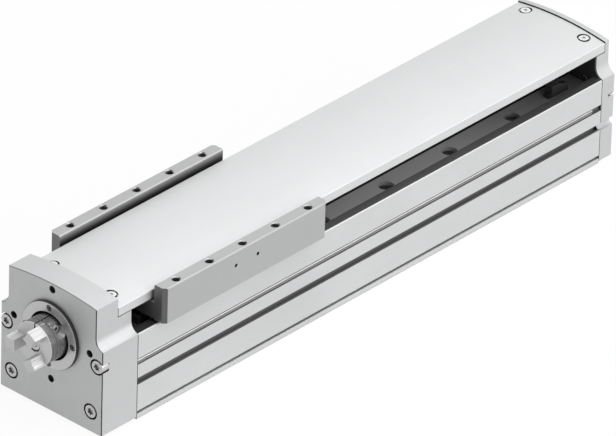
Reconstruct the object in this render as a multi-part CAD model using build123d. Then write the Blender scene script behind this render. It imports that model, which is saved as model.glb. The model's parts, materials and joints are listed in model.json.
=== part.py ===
from build123d import *
import math
import os

# Ball screw linear axis. Millimetres, +Z up. X runs along the stroke from the drive end to the far end.
# The origin is the middle of the base profile's underside, on the centre plane of the axis.

# Base profile
profile_length = 578.0
profile_width = 115.5
profile_height = 83.4
channel_width = 96.6
channel_depth = 34.9
edge_chamfer = 0.8
floor_corner = 1.5
rail_shoulder_width = 1.7
rail_shoulder_height = 23.5
slot_height = 37.1
slot_opening = 6.6
slot_lip = 2.4
slot_inner_width = 12.0
slot_depth = 8.0
groove_height = 56.2
groove_opening = 5.9
groove_depth = 2.6
clamp_groove_bottom = 5.3
clamp_groove_top = 8.4
clamp_groove_depth = 3.0
screw_hole_margin = 3.0

# Strips pressed into the upper side grooves
strip_gap = 0.15
strip_top_recess = 1.7
strip_low_recess = 1.2
strip_ridge = 0.3
strip_front_gap = 0.5
strip_rear_gap = 10.5

# Caps
cap_foot_gap = 2.0
neck_width = 99.8
neck_radius = 10.0
arch_rise = 4.0
drive_cap_length = 42.7
drive_lip_length = 25.8
drive_corner_rise = 17.2
rear_cap_length = 16.8
rear_lip_length = 5.6
rear_corner_rise = 9.5
rear_slot_channel_radius = 4.15
rear_slot_channel_inset = 0.5
cap_edge_chamfer = 0.8
port_groove_radius = 5.0
port_groove_width = 1.3
port_groove_depth = 3.0
port_offset = 37.0
port_drop = 8.0

# Cover plate
cover_rise = 20.5
cover_edge_height = 8.3
cover_skin = 4.0
cover_bead_width = 6.0
cover_end_gap = 0.6
cover_bead_gap = 0.9
cover_seat_gap = 0.05
cover_edge_chamfer = 0.6
cover_bead_side_gap = 0.3
cover_screw_inset = 8.6
cover_screw_spacing = 66.6
cover_recess_radius = 6.0
cover_recess_depth = 1.5
cover_screw_head_radius = 4.8
cover_screw_head_height = 1.6
cover_screw_radius = 2.5
cover_screw_length = 12.0
cover_socket_radius = 1.7
cover_socket_depth = 1.0
cover_lug_width = 15.0
cover_lug_reach = 9.0
cover_lug_thickness = 8.0

# Cap screws that hold the two caps
cap_screw_radius = 4.0
cap_screw_head_radius = 6.4
cap_screw_head_height = 8.0
cap_screw_socket_radius = 3.4
cap_screw_socket_depth = 4.0
cap_screw_engagement = 15.0
counterbore_radius = 7.4
low_screw_offset = 45.0
low_screw_height = 21.5
wall_screw_offset = 51.4
wall_screw_drop = 16.3
screw_gap = 0.05
head_gap = 0.2

# Drive flange, bearing retainer and motor holes
axis_drop = 6.9
motor_hole_circle = 86.0
motor_hole_radius = 3.4
motor_hole_depth = 18.0
drill_point = 0.6
retainer_radius = 31.0
retainer_seat_radius = 30.5
retainer_bore_radius = 22.1
retainer_proud = 3.5
retainer_chamfer = 0.5
retainer_seat_depth = 12.0
retainer_flange_bore_radius = 13.2
retainer_flange_thickness = 3.0
retainer_screw_circle = 53.2
retainer_screw_head_radius = 2.75
retainer_screw_head_height = 3.0
retainer_screw_radius = 1.5
retainer_screw_length = 16.0
retainer_socket_radius = 1.4
retainer_socket_depth = 1.6

# Spindle and its bearings
spindle_radius = 10.0
bearing_journal_radius = 8.5
hub_journal_radius = 7.0
fixed_bearing_radius = 23.5
fixed_bearing_width = 25.0
fixed_ring_radius = 13.0
bearing_shoulder = 3.5
bearing_shield = 0.7
lock_nut_radius = 12.0
lock_nut_width = 6.6
lock_thread_overhang = 0.6
rear_journal_radius = 6.0
rear_bearing_radius = 16.0
rear_bearing_width = 10.0
rear_ring_radius = 9.0
rear_bearing_recess = 2.0
rear_bearing_pocket = 1.6
rear_journal_overhang = 0.8
rear_journal_chamfer = 0.6
spindle_lead = 20.0
bearing_gap = 0.4
same_body_gap = 0.02

# Jaw coupling hub
hub_radius = 20.0
hub_front = 21.0
hub_length = 25.0
hub_groove_depth = 0.8
hub_groove_width = 1.6
hub_groove_places = (6.4, 10.2)
hub_edge_chamfer = 0.5
claw_length = 13.6
claw_count = 3
claw_width = 10.6
claw_inner_radius = 9.6
claw_outer_radius = 19.5
claw_relief_radius = 13.0
claw_relief_depth = 0.7
claw_tip_chamfer = 1.3
clamp_slit_width = 1.2
clamp_slit_angle = 92.0
clamp_screw_radius = 2.5
clamp_screw_head_radius = 4.2
clamp_screw_head_height = 5.0
clamp_screw_offset = 12.6
clamp_screw_inset = 14.6
clamp_screw_seat = 5.2
clamp_screw_length = 14.0
clamp_socket_radius = 2.1
clamp_socket_depth = 2.4
clamp_pocket_radius = 4.9
centre_screw_head_radius = 6.4
centre_screw_inset = 0.8
centre_screw_radius = 3.3
centre_screw_length = 14.0
centre_socket_radius = 3.0
centre_socket_depth = 3.5

# Guide rails
rail_width = 28.0
rail_height = 26.0
rail_wall_gap = 0.6
rail_end_gap = 0.5
rail_hole_pitch = 80.0
rail_hole_count = 6
rail_hole_radius = 4.5
rail_counterbore_radius = 7.1
rail_counterbore_depth = 12.0
rail_screw_head_height = 8.0
rail_screw_thread = 14.0
rail_step_gap = 0.3
rail_edge_chamfer = 1.0
raceway_radius = 2.6
raceway_offset = 0.9
raceway_drop = 9.0
raceway_pitch = 11.0

# Carriage
carriage_length = 198.0
carriage_rest_gap = 4.2
plate_gap = 3.0
plate_thickness = 15.6
plate_boss_height = 5.0
plate_boss_width = 74.0
plate_boss_length = 68.0
bar_spacing = 120.0
bar_width = 12.2
bar_outer_edge = 65.9
bar_gap = 2.2
bar_height = 33.8
bar_corner_chamfer = 3.4
bar_edge_chamfer = 0.9
bar_hole_pitch = 40.0
bar_hole_count = 5
bar_hole_radius = 3.4
bar_hole_depth = 18.0
bar_hole_chamfer = 0.8
side_hole_spacing = 26.5
side_hole_drop = 13.7
side_hole_radius = 1.65
side_hole_depth = 10.0
spindle_channel_gap = 2.2
carriage_counterbore_gap = 0.4

# Runner blocks between the rails
runner_length = 38.0
runner_end_cap = 3.0
runner_cap_inset = 0.3
runner_reach = 72.0
runner_side_gap = 0.4
runner_crown_width = 80.0
runner_floor_gap = 2.0
runner_bore_gap = 2.4
race_insert_gap = 0.35
runner_screw_radius = 2.5
runner_screw_head_radius = 4.25
runner_screw_head_height = 5.0
runner_screw_spacing_x = 20.0
runner_screw_spacing_y = 50.0
runner_screw_thread = 8.0

# Ball nut and the block that carries it
nut_radius = 18.0
nut_front_gap = 2.0
nut_rear_gap = 3.0
nut_flange_radius = 24.0
nut_flange_thickness = 9.0
nut_bore_gap = 0.05
nut_screw_circle = 41.6
nut_screw_radius = 1.65
nut_screw_head_radius = 2.8
nut_screw_head_height = 3.2
nut_screw_thread = 8.0
nut_overhang = 6.0
carrier_width = 64.0
carrier_roof = 4.9
rail_top_gap = 0.8
rail_side_gap = 0.5
nut_screw_angles = (25, 65, 115, 155)
carrier_pocket_gap = 0.2
nut_clearance = 1.5
flange_slot_width = 24.0
flange_slot_gap = 0.6
carrier_screw_radius = 2.5
carrier_screw_head_radius = 4.25
carrier_screw_head_height = 4.6
carrier_screw_edge = 6.0
carrier_screw_spacing_y = 52.0
carrier_screw_thread = 10.0

# Stops on the rails, each with a rubber pad on its face
stop_inset = 42.0
stop_length = 21.5
stop_width = 7.5
stop_height = 11.1
stop_rear_height = 6.5
pad_thickness = 3.0
pad_width = 6.2
pad_height = 3.2
pad_seat_gap = 0.1
stop_screw_inset = 15.5
stop_screw_radius = 2.0
stop_screw_head_radius = 3.0
stop_screw_head_height = 2.6
stop_screw_thread = 7.0

# Derived places
half_profile = profile_length / 2
half_width = profile_width / 2
half_neck = neck_width / 2
floor_height = profile_height - channel_depth
axis_height = profile_height - axis_drop
wall_screw_height = profile_height - wall_screw_drop
port_height = profile_height - port_drop
cover_underside = profile_height + cover_rise
drive_corner_height = cover_underside + drive_corner_rise
rear_corner_height = cover_underside + rear_corner_rise
plate_underside = profile_height + plate_gap
bar_bottom = profile_height + bar_gap
bar_top = bar_bottom + bar_height
side_hole_height = bar_top - side_hole_drop
runner_bottom = floor_height + runner_floor_gap
drive_face = -half_profile - drive_cap_length
rear_face = half_profile + rear_cap_length
arch_radius = (half_neck**2 + arch_rise**2) / (2 * arch_rise)
cover_corner_height = cover_underside + cover_edge_height
cover_start = drive_face + drive_lip_length + cover_end_gap
cover_end = rear_face - rear_lip_length - cover_end_gap
rail_top = floor_height + rail_height
rail_offset = channel_width / 2 - rail_wall_gap - rail_width / 2
rail_inner = rail_offset - rail_width / 2
rail_shoulder = channel_width / 2 - rail_shoulder_width
half_crown = runner_crown_width / 2
plate_top = plate_underside + plate_thickness
runner_start = runner_reach - runner_length - 2 * runner_end_cap
stop_face = half_profile - stop_inset
pad_tip = stop_face - pad_thickness
carriage_centre = -pad_tip + carriage_rest_gap + runner_reach
nut_flange_front = -runner_start + nut_front_gap
nut_flange_back = nut_flange_front + nut_flange_thickness
nut_body_length = runner_start - nut_rear_gap - nut_flange_back
carrier_length = nut_body_length - nut_overhang
carrier_top = axis_height + nut_radius + carrier_roof
carrier_screw_spacing_x = carrier_length - 2 * carrier_screw_edge
plate_roof = plate_top + plate_boss_height
bar_inner_edge = bar_outer_edge - bar_width
retainer_flange_start = retainer_seat_depth - retainer_flange_thickness
fixed_bearing_start = drive_face + retainer_seat_depth
fixed_bearing_end = fixed_bearing_start + fixed_bearing_width
rear_bearing_start = half_profile + rear_bearing_recess
rear_bearing_end = rear_bearing_start + rear_bearing_width
fixed_bearing_span = (fixed_bearing_start, fixed_bearing_end)
lock_nut_span = (fixed_bearing_start - lock_nut_width, fixed_bearing_start)
rear_bearing_span = (rear_bearing_start, rear_bearing_end)
hub_face = drive_face - hub_front
hub_back = hub_face + hub_length


def along_x(face, start, end):
    """A section drawn in the Y-Z plane, run along the axis from start to end."""
    return extrude(Plane.YZ.offset(start) * face, amount=end - start)


def rod_x(radius, start, end, y=0.0, z=axis_height):
    """A round rod along the axis."""
    return Pos((start + end) / 2, y, z) * Rot(0, 90, 0) * Cylinder(radius, end - start)


def rod_z(radius, bottom, top, x, y):
    """A round rod standing upright."""
    return Pos(x, y, (bottom + top) / 2) * Cylinder(radius, top - bottom)


def block(x0, x1, y0, y1, z0, z1):
    """A rectangular block between two opposite corners."""
    return Pos(x0, y0, z0) * Box(x1 - x0, y1 - y0, z1 - z0, align=(Align.MIN, Align.MIN, Align.MIN))


def polygon(points):
    """A flat face from its corner points."""
    return make_face(Polyline(*points, close=True))


def mirrored(shape):
    """The same shape on the other side of the centre plane."""
    return mirror(shape, about=Plane.XZ)


def both_sides(shape):
    """A shape and its mirror image as two separate solids."""
    return [shape, mirrored(shape)]


def arch_height(corner_height, y):
    """Height of an arched top at a distance y from the centre plane."""
    centre = corner_height + arch_rise - arch_radius
    return centre + math.sqrt(arch_radius**2 - y**2)


def chamfered_ends(body, size):
    """A small chamfer round the outer edge of both end faces of a cap."""
    faces = body.faces().filter_by(Axis.X).sort_by(Axis.X)
    edges = faces[0].outer_wire().edges() + faces[-1].outer_wire().edges()
    return chamfer(edges, size)


def socket_screw(head_radius, head_height, shank_radius, shank_length, socket_radius, socket_depth):
    """A cap screw with its head's top at the origin and its shank pointing down."""
    head = Pos(0, 0, -head_height / 2) * Cylinder(head_radius, head_height)
    rim = head.edges().filter_by(GeomType.CIRCLE).sort_by(Axis.Z)[-1]
    head = chamfer(rim, min(0.6, head_height / 4))
    shank = Pos(0, 0, -head_height - shank_length / 2) * Cylinder(shank_radius, shank_length)
    socket = extrude(RegularPolygon(socket_radius, 6), amount=-socket_depth)
    return head + shank - socket


def plain_screw(head_radius, head_height, shank_radius, shank_length):
    """A hidden screw, drawn plain: head and shank."""
    head = Pos(0, 0, -head_height / 2) * Cylinder(head_radius, head_height)
    shank = Pos(0, 0, -head_height - shank_length / 2) * Cylinder(shank_radius, shank_length)
    return head + shank


def drilled(radius, depth):
    """A blind hole down from the origin, with a drill point at its bottom."""
    point = radius * drill_point
    bore = Pos(0, 0, (1 - depth) / 2) * Cylinder(radius, depth + 1)
    return bore + Pos(0, 0, -depth - point / 2) * Cone(0, radius, point)


def screws_from_drive_end(screw, face_x, places):
    """Copies of a screw or a hole that enter the part along +X."""
    return [Pos(face_x, y, z) * Rot(0, -90, 0) * screw for y, z in places]


def screws_from_far_end(screw, face_x, places):
    """Copies of a screw that enter the part along -X."""
    return [Pos(face_x, y, z) * Rot(0, 90, 0) * screw for y, z in places]


def screws_from_above(screw, top, places):
    """Copies of a screw that enter the part from above."""
    return [Pos(x, y, top) * screw for x, y in places]


def circle_places(diameter, count, start_degrees, height=axis_height):
    """Hole centres on a circle around the spindle."""
    turns = [math.radians(start_degrees + 360 / count * i) for i in range(count)]
    return [(diameter / 2 * math.cos(a), height + diameter / 2 * math.sin(a)) for a in turns]


cap_screw_places = [
    (side * offset, height)
    for offset, height in ((low_screw_offset, low_screw_height), (wall_screw_offset, wall_screw_height))
    for side in (-1, 1)
]
retainer_screw_places = circle_places(retainer_screw_circle, 4, 0)
motor_hole_places = circle_places(motor_hole_circle, 4, 0)
rail_hole_places = [rail_hole_pitch * (i - (rail_hole_count - 1) / 2) for i in range(rail_hole_count)]
rail_screw_places = [(x, side * rail_offset) for side in (-1, 1) for x in rail_hole_places]
cover_screw_places = [
    (x, side * cover_screw_spacing / 2)
    for x in (cover_start + cover_screw_inset, cover_end - cover_screw_inset)
    for side in (-1, 1)
]


# Base profile
def profile_outline():
    """Outer outline of the extrusion, with a channel open to the top and a shoulder that locates each rail."""
    half_channel = channel_width / 2
    shoulder_top = floor_height + rail_shoulder_height
    half = [
        (half_width - edge_chamfer, 0),
        (half_width, edge_chamfer),
        (half_width, clamp_groove_bottom),
        (half_width - clamp_groove_depth, clamp_groove_bottom),
        (half_width, clamp_groove_top),
        (half_width, profile_height - edge_chamfer),
        (half_width - edge_chamfer, profile_height),
        (half_channel, profile_height),
        (half_channel, shoulder_top),
        (rail_shoulder, shoulder_top),
        (rail_shoulder, floor_height),
    ]
    return polygon(half + [(-y, z) for y, z in reversed(half)])


def side_slot():
    """T-slot in the +Y side of the profile."""
    z, y = slot_height, half_width
    half = [
        (y + 1, slot_opening / 2),
        (y - slot_lip, slot_opening / 2),
        (y - slot_lip, slot_inner_width / 2),
        (y - slot_depth + 2, slot_inner_width / 2),
        (y - slot_depth, slot_inner_width / 2 - 2),
    ]
    return polygon([(a, z + b) for a, b in half] + [(a, z - b) for a, b in reversed(half)])


def side_groove():
    """Shallow groove above the T-slot in the +Y side."""
    z, y = groove_height, half_width
    half = groove_opening / 2
    return polygon([(y + 1, z - half), (y - groove_depth, z - half), (y - groove_depth, z + half), (y + 1, z + half)])


def make_base_profile():
    """Aluminium base profile: channel for the drive, side slots and screw holes in its ends."""
    body = along_x(profile_outline(), -half_profile, half_profile)
    for cut in (side_slot(), side_groove()):
        run = along_x(cut, -half_profile, half_profile)
        body -= run
        body -= mirrored(run)
    depth = cap_screw_engagement + screw_hole_margin
    for y, z in cap_screw_places:
        body -= rod_x(cap_screw_radius + screw_gap, -half_profile, -half_profile + depth, y, z)
        body -= rod_x(cap_screw_radius + screw_gap, half_profile - depth, half_profile, y, z)
    for x, y in rail_screw_places:
        body -= rod_z(cap_screw_radius + screw_gap, floor_height - rail_screw_thread - 2, floor_height, x, y)
    return body


def make_slot_strips():
    """Strip in each upper side groove, with a ridge along its outer face; it ends short of the far cap."""
    half = groove_opening / 2 - strip_gap
    back = half_width - groove_depth + strip_gap
    section = polygon([
        (back, groove_height - half),
        (half_width - strip_low_recess, groove_height - half),
        (half_width - strip_ridge, groove_height),
        (half_width - strip_top_recess, groove_height + half),
        (back, groove_height + half),
    ])
    return both_sides(along_x(section, -half_profile + strip_front_gap, half_profile - strip_rear_gap))


# End caps
def cap_outline(corner_height, grow=0.0):
    """Cap outline: wide body, concave neck foot, narrow neck and arched top."""
    half_b, half_n = half_width - grow, half_neck - grow
    bottom, top = cap_foot_gap + grow, corner_height - grow
    turn = math.acos(1 - (half_b - half_n) / neck_radius)
    foot = profile_height + neck_radius * math.sin(turn)
    c = edge_chamfer
    mid = (half_n + neck_radius * (1 - math.cos(turn / 2)), foot - neck_radius * math.sin(turn / 2))

    def side(sign):
        """Right or left flank, drawn from bottom to top."""
        wide = Line((sign * half_b, bottom + c), (sign * half_b, profile_height))
        foot_arc = ThreePointArc((sign * half_b, profile_height), (sign * mid[0], mid[1]), (sign * half_n, foot))
        neck = Line((sign * half_n, foot), (sign * half_n, top))
        return wide + foot_arc + neck

    low = Polyline((-half_b, bottom + c), (-half_b + c, bottom), (half_b - c, bottom), (half_b, bottom + c))
    arch = ThreePointArc((half_n, top), (0, top + arch_rise), (-half_n, top))
    return make_face(low + side(1) + arch + side(-1))


def cover_space(gap):
    """Everything above the seat that carries the cover, as a section to cut away."""
    inner = half_neck - cover_bead_width - cover_bead_side_gap
    seat = arch_height(cover_corner_height, inner) - cover_skin - gap
    crown = cover_corner_height + arch_rise - cover_skin - gap
    bead = cover_underside - cover_bead_gap
    wide, high = 2 * half_width, 2 * drive_corner_height
    right = [(wide, high), (wide, bead), (inner, bead), (inner, seat)]
    left = [(-y, z) for y, z in reversed(right)]
    outline = Polyline(*left, *right) + ThreePointArc((inner, seat), (0, crown), (-inner, seat))
    return make_face(outline)


def cover_screw_hole(x, y):
    """Hole for a cover screw in what lies under the cover."""
    bottom = cover_recess_floor() - cover_screw_length - 1
    return rod_z(cover_screw_radius + screw_gap, bottom, cover_corner_height + arch_rise, x, y)


def make_drive_cap():
    """Drive-end cap with bearing seat, retainer seat, motor holes and the notch for the cover."""
    body = chamfered_ends(along_x(cap_outline(drive_corner_height), drive_face, -half_profile), cap_edge_chamfer)
    body -= along_x(cover_space(cover_seat_gap), drive_face + drive_lip_length, -half_profile)
    body -= rod_x(retainer_seat_radius + screw_gap, drive_face, fixed_bearing_start)
    body -= rod_x(fixed_bearing_radius + same_body_gap, fixed_bearing_start, fixed_bearing_end)
    body -= rod_x(fixed_bearing_radius - bearing_shoulder, fixed_bearing_end, -half_profile)
    for hole in screws_from_drive_end(drilled(motor_hole_radius, motor_hole_depth), drive_face, motor_hole_places):
        body -= hole
    retainer_screw_end = drive_face - retainer_proud + retainer_screw_head_height + retainer_screw_length + 1
    for y, z in retainer_screw_places:
        body -= rod_x(retainer_screw_radius + screw_gap, fixed_bearing_start, retainer_screw_end, y, z)
    for y, z in cap_screw_places:
        body -= rod_x(counterbore_radius, drive_face, drive_face + cap_screw_head_height, y, z)
        body -= rod_x(cap_screw_radius + screw_gap, drive_face, -half_profile, y, z)
    for x, y in cover_screw_places[:2]:
        body -= cover_screw_hole(x, y)
    return body


def make_rear_cap():
    """Far-end cap with its bearing seat, cover lugs and round channels in line with the side slots."""
    body = chamfered_ends(along_x(cap_outline(rear_corner_height), half_profile, rear_face), cap_edge_chamfer)
    lug = block(
        half_profile - cover_lug_reach,
        half_profile + 1,
        cover_screw_spacing / 2 - cover_lug_width / 2,
        cover_screw_spacing / 2 + cover_lug_width / 2,
        cover_underside - cover_lug_thickness,
        cover_corner_height,
    )
    body += lug
    body += mirrored(lug)
    body -= along_x(cover_space(cover_seat_gap), half_profile - cover_lug_reach - 1, rear_face - rear_lip_length)
    body -= rod_x(rear_bearing_radius + same_body_gap, half_profile, rear_bearing_end)
    body -= rod_x(rear_ring_radius + 1, half_profile, rear_bearing_end + rear_bearing_pocket)
    channel_y = half_width - rear_slot_channel_inset
    channel = rod_x(rear_slot_channel_radius, half_profile, rear_face, channel_y, slot_height)
    port = rod_x(port_groove_radius, half_profile, half_profile + port_groove_depth, port_offset, port_height)
    port -= rod_x(port_groove_radius - port_groove_width, half_profile, rear_face, port_offset, port_height)
    for cut in both_sides(channel) + both_sides(port):
        body -= cut
    for y, z in cap_screw_places:
        body -= rod_x(counterbore_radius, rear_face - cap_screw_head_height, rear_face, y, z)
        body -= rod_x(cap_screw_radius + screw_gap, half_profile, rear_face, y, z)
    for x, y in cover_screw_places[2:]:
        body -= cover_screw_hole(x, y)
    return body


def make_cap_screws(face_x, cap_length, placer):
    """Cap screws of one cap, heads flush with its end face."""
    length = cap_length - cap_screw_head_height + cap_screw_engagement
    head = (cap_screw_head_radius, cap_screw_head_height)
    screw = socket_screw(*head, cap_screw_radius, length, cap_screw_socket_radius, cap_screw_socket_depth)
    return placer(screw, face_x, cap_screw_places)


# Cover plate
def cover_section():
    """Arched cover: flat side edges, an even skin and two beads that stiffen its long sides."""
    top = cover_corner_height
    inner = half_neck - cover_bead_width
    under = arch_height(top, inner) - cover_skin
    shoulder = half_neck - cover_edge_chamfer
    right = [(inner, under), (inner, cover_underside), (half_neck, cover_underside)]
    right += [(half_neck, top - cover_edge_chamfer), (shoulder, arch_height(top, shoulder))]
    left = [(-y, z) for y, z in reversed(right)]
    outer = ThreePointArc(right[-1], (0, top + arch_rise), left[0])
    hollow = ThreePointArc(left[-1], (0, top + arch_rise - cover_skin), right[0])
    return make_face(Polyline(*right) + outer + Polyline(*left) + hollow)


def cover_recess_floor():
    """Height of the flat floor of the screw recesses in the cover."""
    return arch_height(cover_corner_height, cover_screw_spacing / 2) - cover_recess_depth


def make_cover_plate():
    """Cover plate over the channel, with four round recesses for its screws."""
    body = along_x(cover_section(), cover_start, cover_end)
    for x, y in cover_screw_places:
        body -= rod_z(cover_recess_radius, cover_recess_floor(), cover_corner_height + arch_rise + 1, x, y)
        body -= rod_z(cover_screw_radius + 0.4, cover_underside, cover_corner_height + arch_rise, x, y)
    return body


def make_cover_screws():
    """Four flat-headed screws in the cover's recesses."""
    head = (cover_screw_head_radius, cover_screw_head_height)
    screw = socket_screw(*head, cover_screw_radius, cover_screw_length, cover_socket_radius, cover_socket_depth)
    return screws_from_above(screw, cover_recess_floor() + cover_screw_head_height, cover_screw_places)


# Bearings at the drive end
def make_bearing_retainer():
    """Retainer ring: centring spigot outside, thin flange against the bearing inside."""
    start = drive_face - retainer_proud
    body = rod_x(retainer_radius, start, drive_face)
    body = chamfer(body.edges().filter_by(GeomType.CIRCLE).sort_by(Axis.X)[0], retainer_chamfer)
    body += rod_x(retainer_seat_radius, drive_face, fixed_bearing_start)
    body -= rod_x(retainer_bore_radius, start, drive_face + retainer_flange_start)
    body -= rod_x(retainer_flange_bore_radius, start, fixed_bearing_start)
    for y, z in retainer_screw_places:
        body -= rod_x(retainer_screw_head_radius + head_gap, start, start + retainer_screw_head_height, y, z)
        body -= rod_x(retainer_screw_radius + screw_gap, start, fixed_bearing_start, y, z)
    return body


def make_retainer_screws():
    """Four small cap screws of the retainer."""
    head = (retainer_screw_head_radius, retainer_screw_head_height - head_gap)
    socket = (retainer_socket_radius, retainer_socket_depth)
    screw = socket_screw(*head, retainer_screw_radius, retainer_screw_length, *socket)
    return screws_from_drive_end(screw, drive_face - retainer_proud + head_gap, retainer_screw_places)


def shielded_outer_ring(radius, start, end, inner_ring_radius):
    """Outer bearing ring with a thin shield at each face that reaches in towards the inner ring."""
    race = (radius + inner_ring_radius) / 2 + 1.2
    ring = rod_x(radius, start, end) - rod_x(race, start + bearing_shield, end - bearing_shield)
    return ring - rod_x(inner_ring_radius + bearing_gap, start, end)


def ring_x(outer, inner, start, end):
    """A plain ring around the spindle."""
    return rod_x(outer, start, end) - rod_x(inner, start, end)


# Spindle and what turns with it
def make_spindle():
    """Ball screw spindle with its bearing journals, hub journal and a tapped front end."""
    journal_start = hub_face + centre_screw_inset + cap_screw_head_height
    thread_start = fixed_bearing_start - lock_nut_width - lock_thread_overhang
    rear_end = rear_bearing_end + rear_journal_overhang
    body = rod_x(hub_journal_radius, journal_start, thread_start)
    body += rod_x(bearing_journal_radius, thread_start, fixed_bearing_end)
    body += rod_x(spindle_radius, fixed_bearing_end, rear_bearing_start)
    body += rod_x(rear_journal_radius, rear_bearing_start, rear_end)
    body = chamfer(body.edges().filter_by(GeomType.CIRCLE).sort_by(Axis.X)[-1], rear_journal_chamfer)
    return body - rod_x(centre_screw_radius + screw_gap, journal_start, journal_start + centre_screw_length + 2)


def claw():
    """One coupling claw at the +Y side: round back, bevelled tip and flanks hollowed for the spider."""
    tip = hub_face - claw_length
    half = claw_width / 2
    body = block(tip, hub_face + 1, claw_inner_radius, hub_radius, axis_height - half, axis_height + half)
    body &= rod_x(claw_outer_radius, tip, hub_face + 1)
    body = chamfer(body.faces().sort_by(Axis.X)[0].edges(), claw_tip_chamfer)
    middle = (claw_inner_radius + claw_outer_radius) / 2
    for sign in (-1, 1):
        height = axis_height + sign * (half + claw_relief_radius - claw_relief_depth)
        body -= rod_x(claw_relief_radius, tip, hub_face, middle, height)
    return body


def turned(shape, degrees):
    """The same shape turned about the spindle's axis."""
    return shape.rotate(Axis((0, 0, axis_height), (1, 0, 0)), degrees)


def make_coupling_hub():
    """Clamping hub of the jaw coupling: three claws, clamp slit, screw pocket and ring grooves."""
    body = rod_x(hub_radius, hub_face, hub_back)
    body = chamfer(body.edges().filter_by(GeomType.CIRCLE), hub_edge_chamfer)
    for place in hub_groove_places:
        start = hub_face + place
        body -= ring_x(hub_radius + 1, hub_radius - hub_groove_depth, start, start + hub_groove_width)
    one = claw()
    for i in range(claw_count):
        body += turned(one, 360 / claw_count * i)
    body -= rod_x(hub_journal_radius + same_body_gap, hub_face, hub_back)
    half = clamp_slit_width / 2
    slit = block(hub_face - 1, hub_back + 1, 0, hub_radius + 1, axis_height - half, axis_height + half)
    body -= turned(slit, clamp_slit_angle)
    for cut in clamp_screw_cuts():
        body -= cut
    return body


def clamp_screw_frame():
    """Where the clamp screw lies: across the slit, with its head on the -Y side."""
    x = hub_face + clamp_screw_inset
    return Pos(x, 0, axis_height) * Rot(clamp_slit_angle, 0, 0) * Pos(0, clamp_screw_offset, 0)


def clamp_screw_cuts():
    """Screw pocket open to the hub's rim, and the screw's hole across the slit."""
    upward = (Align.CENTER, Align.CENTER, Align.MIN)
    pocket = Pos(0, 0, clamp_screw_seat) * Cylinder(clamp_pocket_radius, hub_radius, align=upward)
    depth = clamp_screw_length - clamp_screw_seat + 1
    hole = Pos(0, 0, -depth) * Cylinder(clamp_screw_radius + screw_gap, depth + hub_radius, align=upward)
    return [clamp_screw_frame() * pocket, clamp_screw_frame() * hole]


def make_clamp_screw():
    """Cap screw that closes the hub's slit."""
    head = (clamp_screw_head_radius, clamp_screw_head_height)
    screw = socket_screw(*head, clamp_screw_radius, clamp_screw_length, clamp_socket_radius, clamp_socket_depth)
    return clamp_screw_frame() * Pos(0, 0, clamp_screw_seat + clamp_screw_head_height) * screw


def make_centre_screw():
    """Screw in the spindle's front end, seen in the middle of the hub."""
    head = (centre_screw_head_radius, cap_screw_head_height)
    screw = socket_screw(*head, centre_screw_radius, centre_screw_length, centre_socket_radius, centre_socket_depth)
    return screws_from_drive_end(screw, hub_face + centre_screw_inset, [(0, axis_height)])[0]


# Guide rails
def rail_section():
    """Rail on the +Y side: stepped against the shoulder, with two ball tracks in its inner flank."""
    step = floor_height + rail_shoulder_height + rail_step_gap
    outer, foot = rail_offset + rail_width / 2, rail_shoulder - rail_wall_gap
    c = rail_edge_chamfer
    face = polygon([
        (rail_inner + c, floor_height),
        (foot, floor_height),
        (foot, step),
        (outer, step),
        (outer, rail_top - c),
        (outer - c, rail_top),
        (rail_inner + c, rail_top),
        (rail_inner, rail_top - c),
        (rail_inner, floor_height + c),
    ])
    for z in raceway_heights():
        face -= Pos(rail_inner - raceway_offset, z) * Circle(raceway_radius)
    return face


def raceway_heights():
    """Heights of the two ball tracks."""
    return (rail_top - raceway_drop, rail_top - raceway_drop - raceway_pitch)


def stop_screw_place(end):
    """Distance along X of the screw in each rail stop."""
    return end * (stop_face + stop_screw_inset)


def make_guide_rail():
    """Guide rail on the +Y side with counterbored screw holes."""
    body = along_x(rail_section(), -half_profile + rail_end_gap, half_profile - rail_end_gap)
    for x in rail_hole_places:
        body -= rod_z(rail_hole_radius, floor_height, rail_top, x, rail_offset)
        body -= rod_z(rail_counterbore_radius, rail_top - rail_counterbore_depth, rail_top, x, rail_offset)
    for end in (-1, 1):
        bottom = rail_top - stop_screw_thread - 1
        body -= rod_z(stop_screw_radius + screw_gap, bottom, rail_top, stop_screw_place(end), rail_offset)
    return body


def make_rail_screws():
    """Cap screws of both rails, heads down in the counterbores."""
    grip = rail_height - rail_counterbore_depth
    screw = plain_screw(cap_screw_head_radius, rail_screw_head_height, cap_screw_radius, grip + rail_screw_thread)
    top = rail_top - rail_counterbore_depth + rail_screw_head_height
    return screws_from_above(screw, top, rail_screw_places)


# Carriage
def runner_screw_places():
    """Screw centres above the two runner blocks."""
    centre = runner_reach - runner_end_cap - runner_length / 2
    return [
        (carriage_centre + end * centre + i * runner_screw_spacing_x / 2, j * runner_screw_spacing_y / 2)
        for end in (-1, 1)
        for i in (-1, 1)
        for j in (-1, 1)
    ]


def carrier_screw_places():
    """Screw centres above the nut's carrier."""
    centre = carriage_centre + nut_flange_back + carrier_length / 2
    half_x, half_y = carrier_screw_spacing_x / 2, carrier_screw_spacing_y / 2
    return [(centre + i * half_x, j * half_y) for i in (-1, 1) for j in (-1, 1)]


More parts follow.
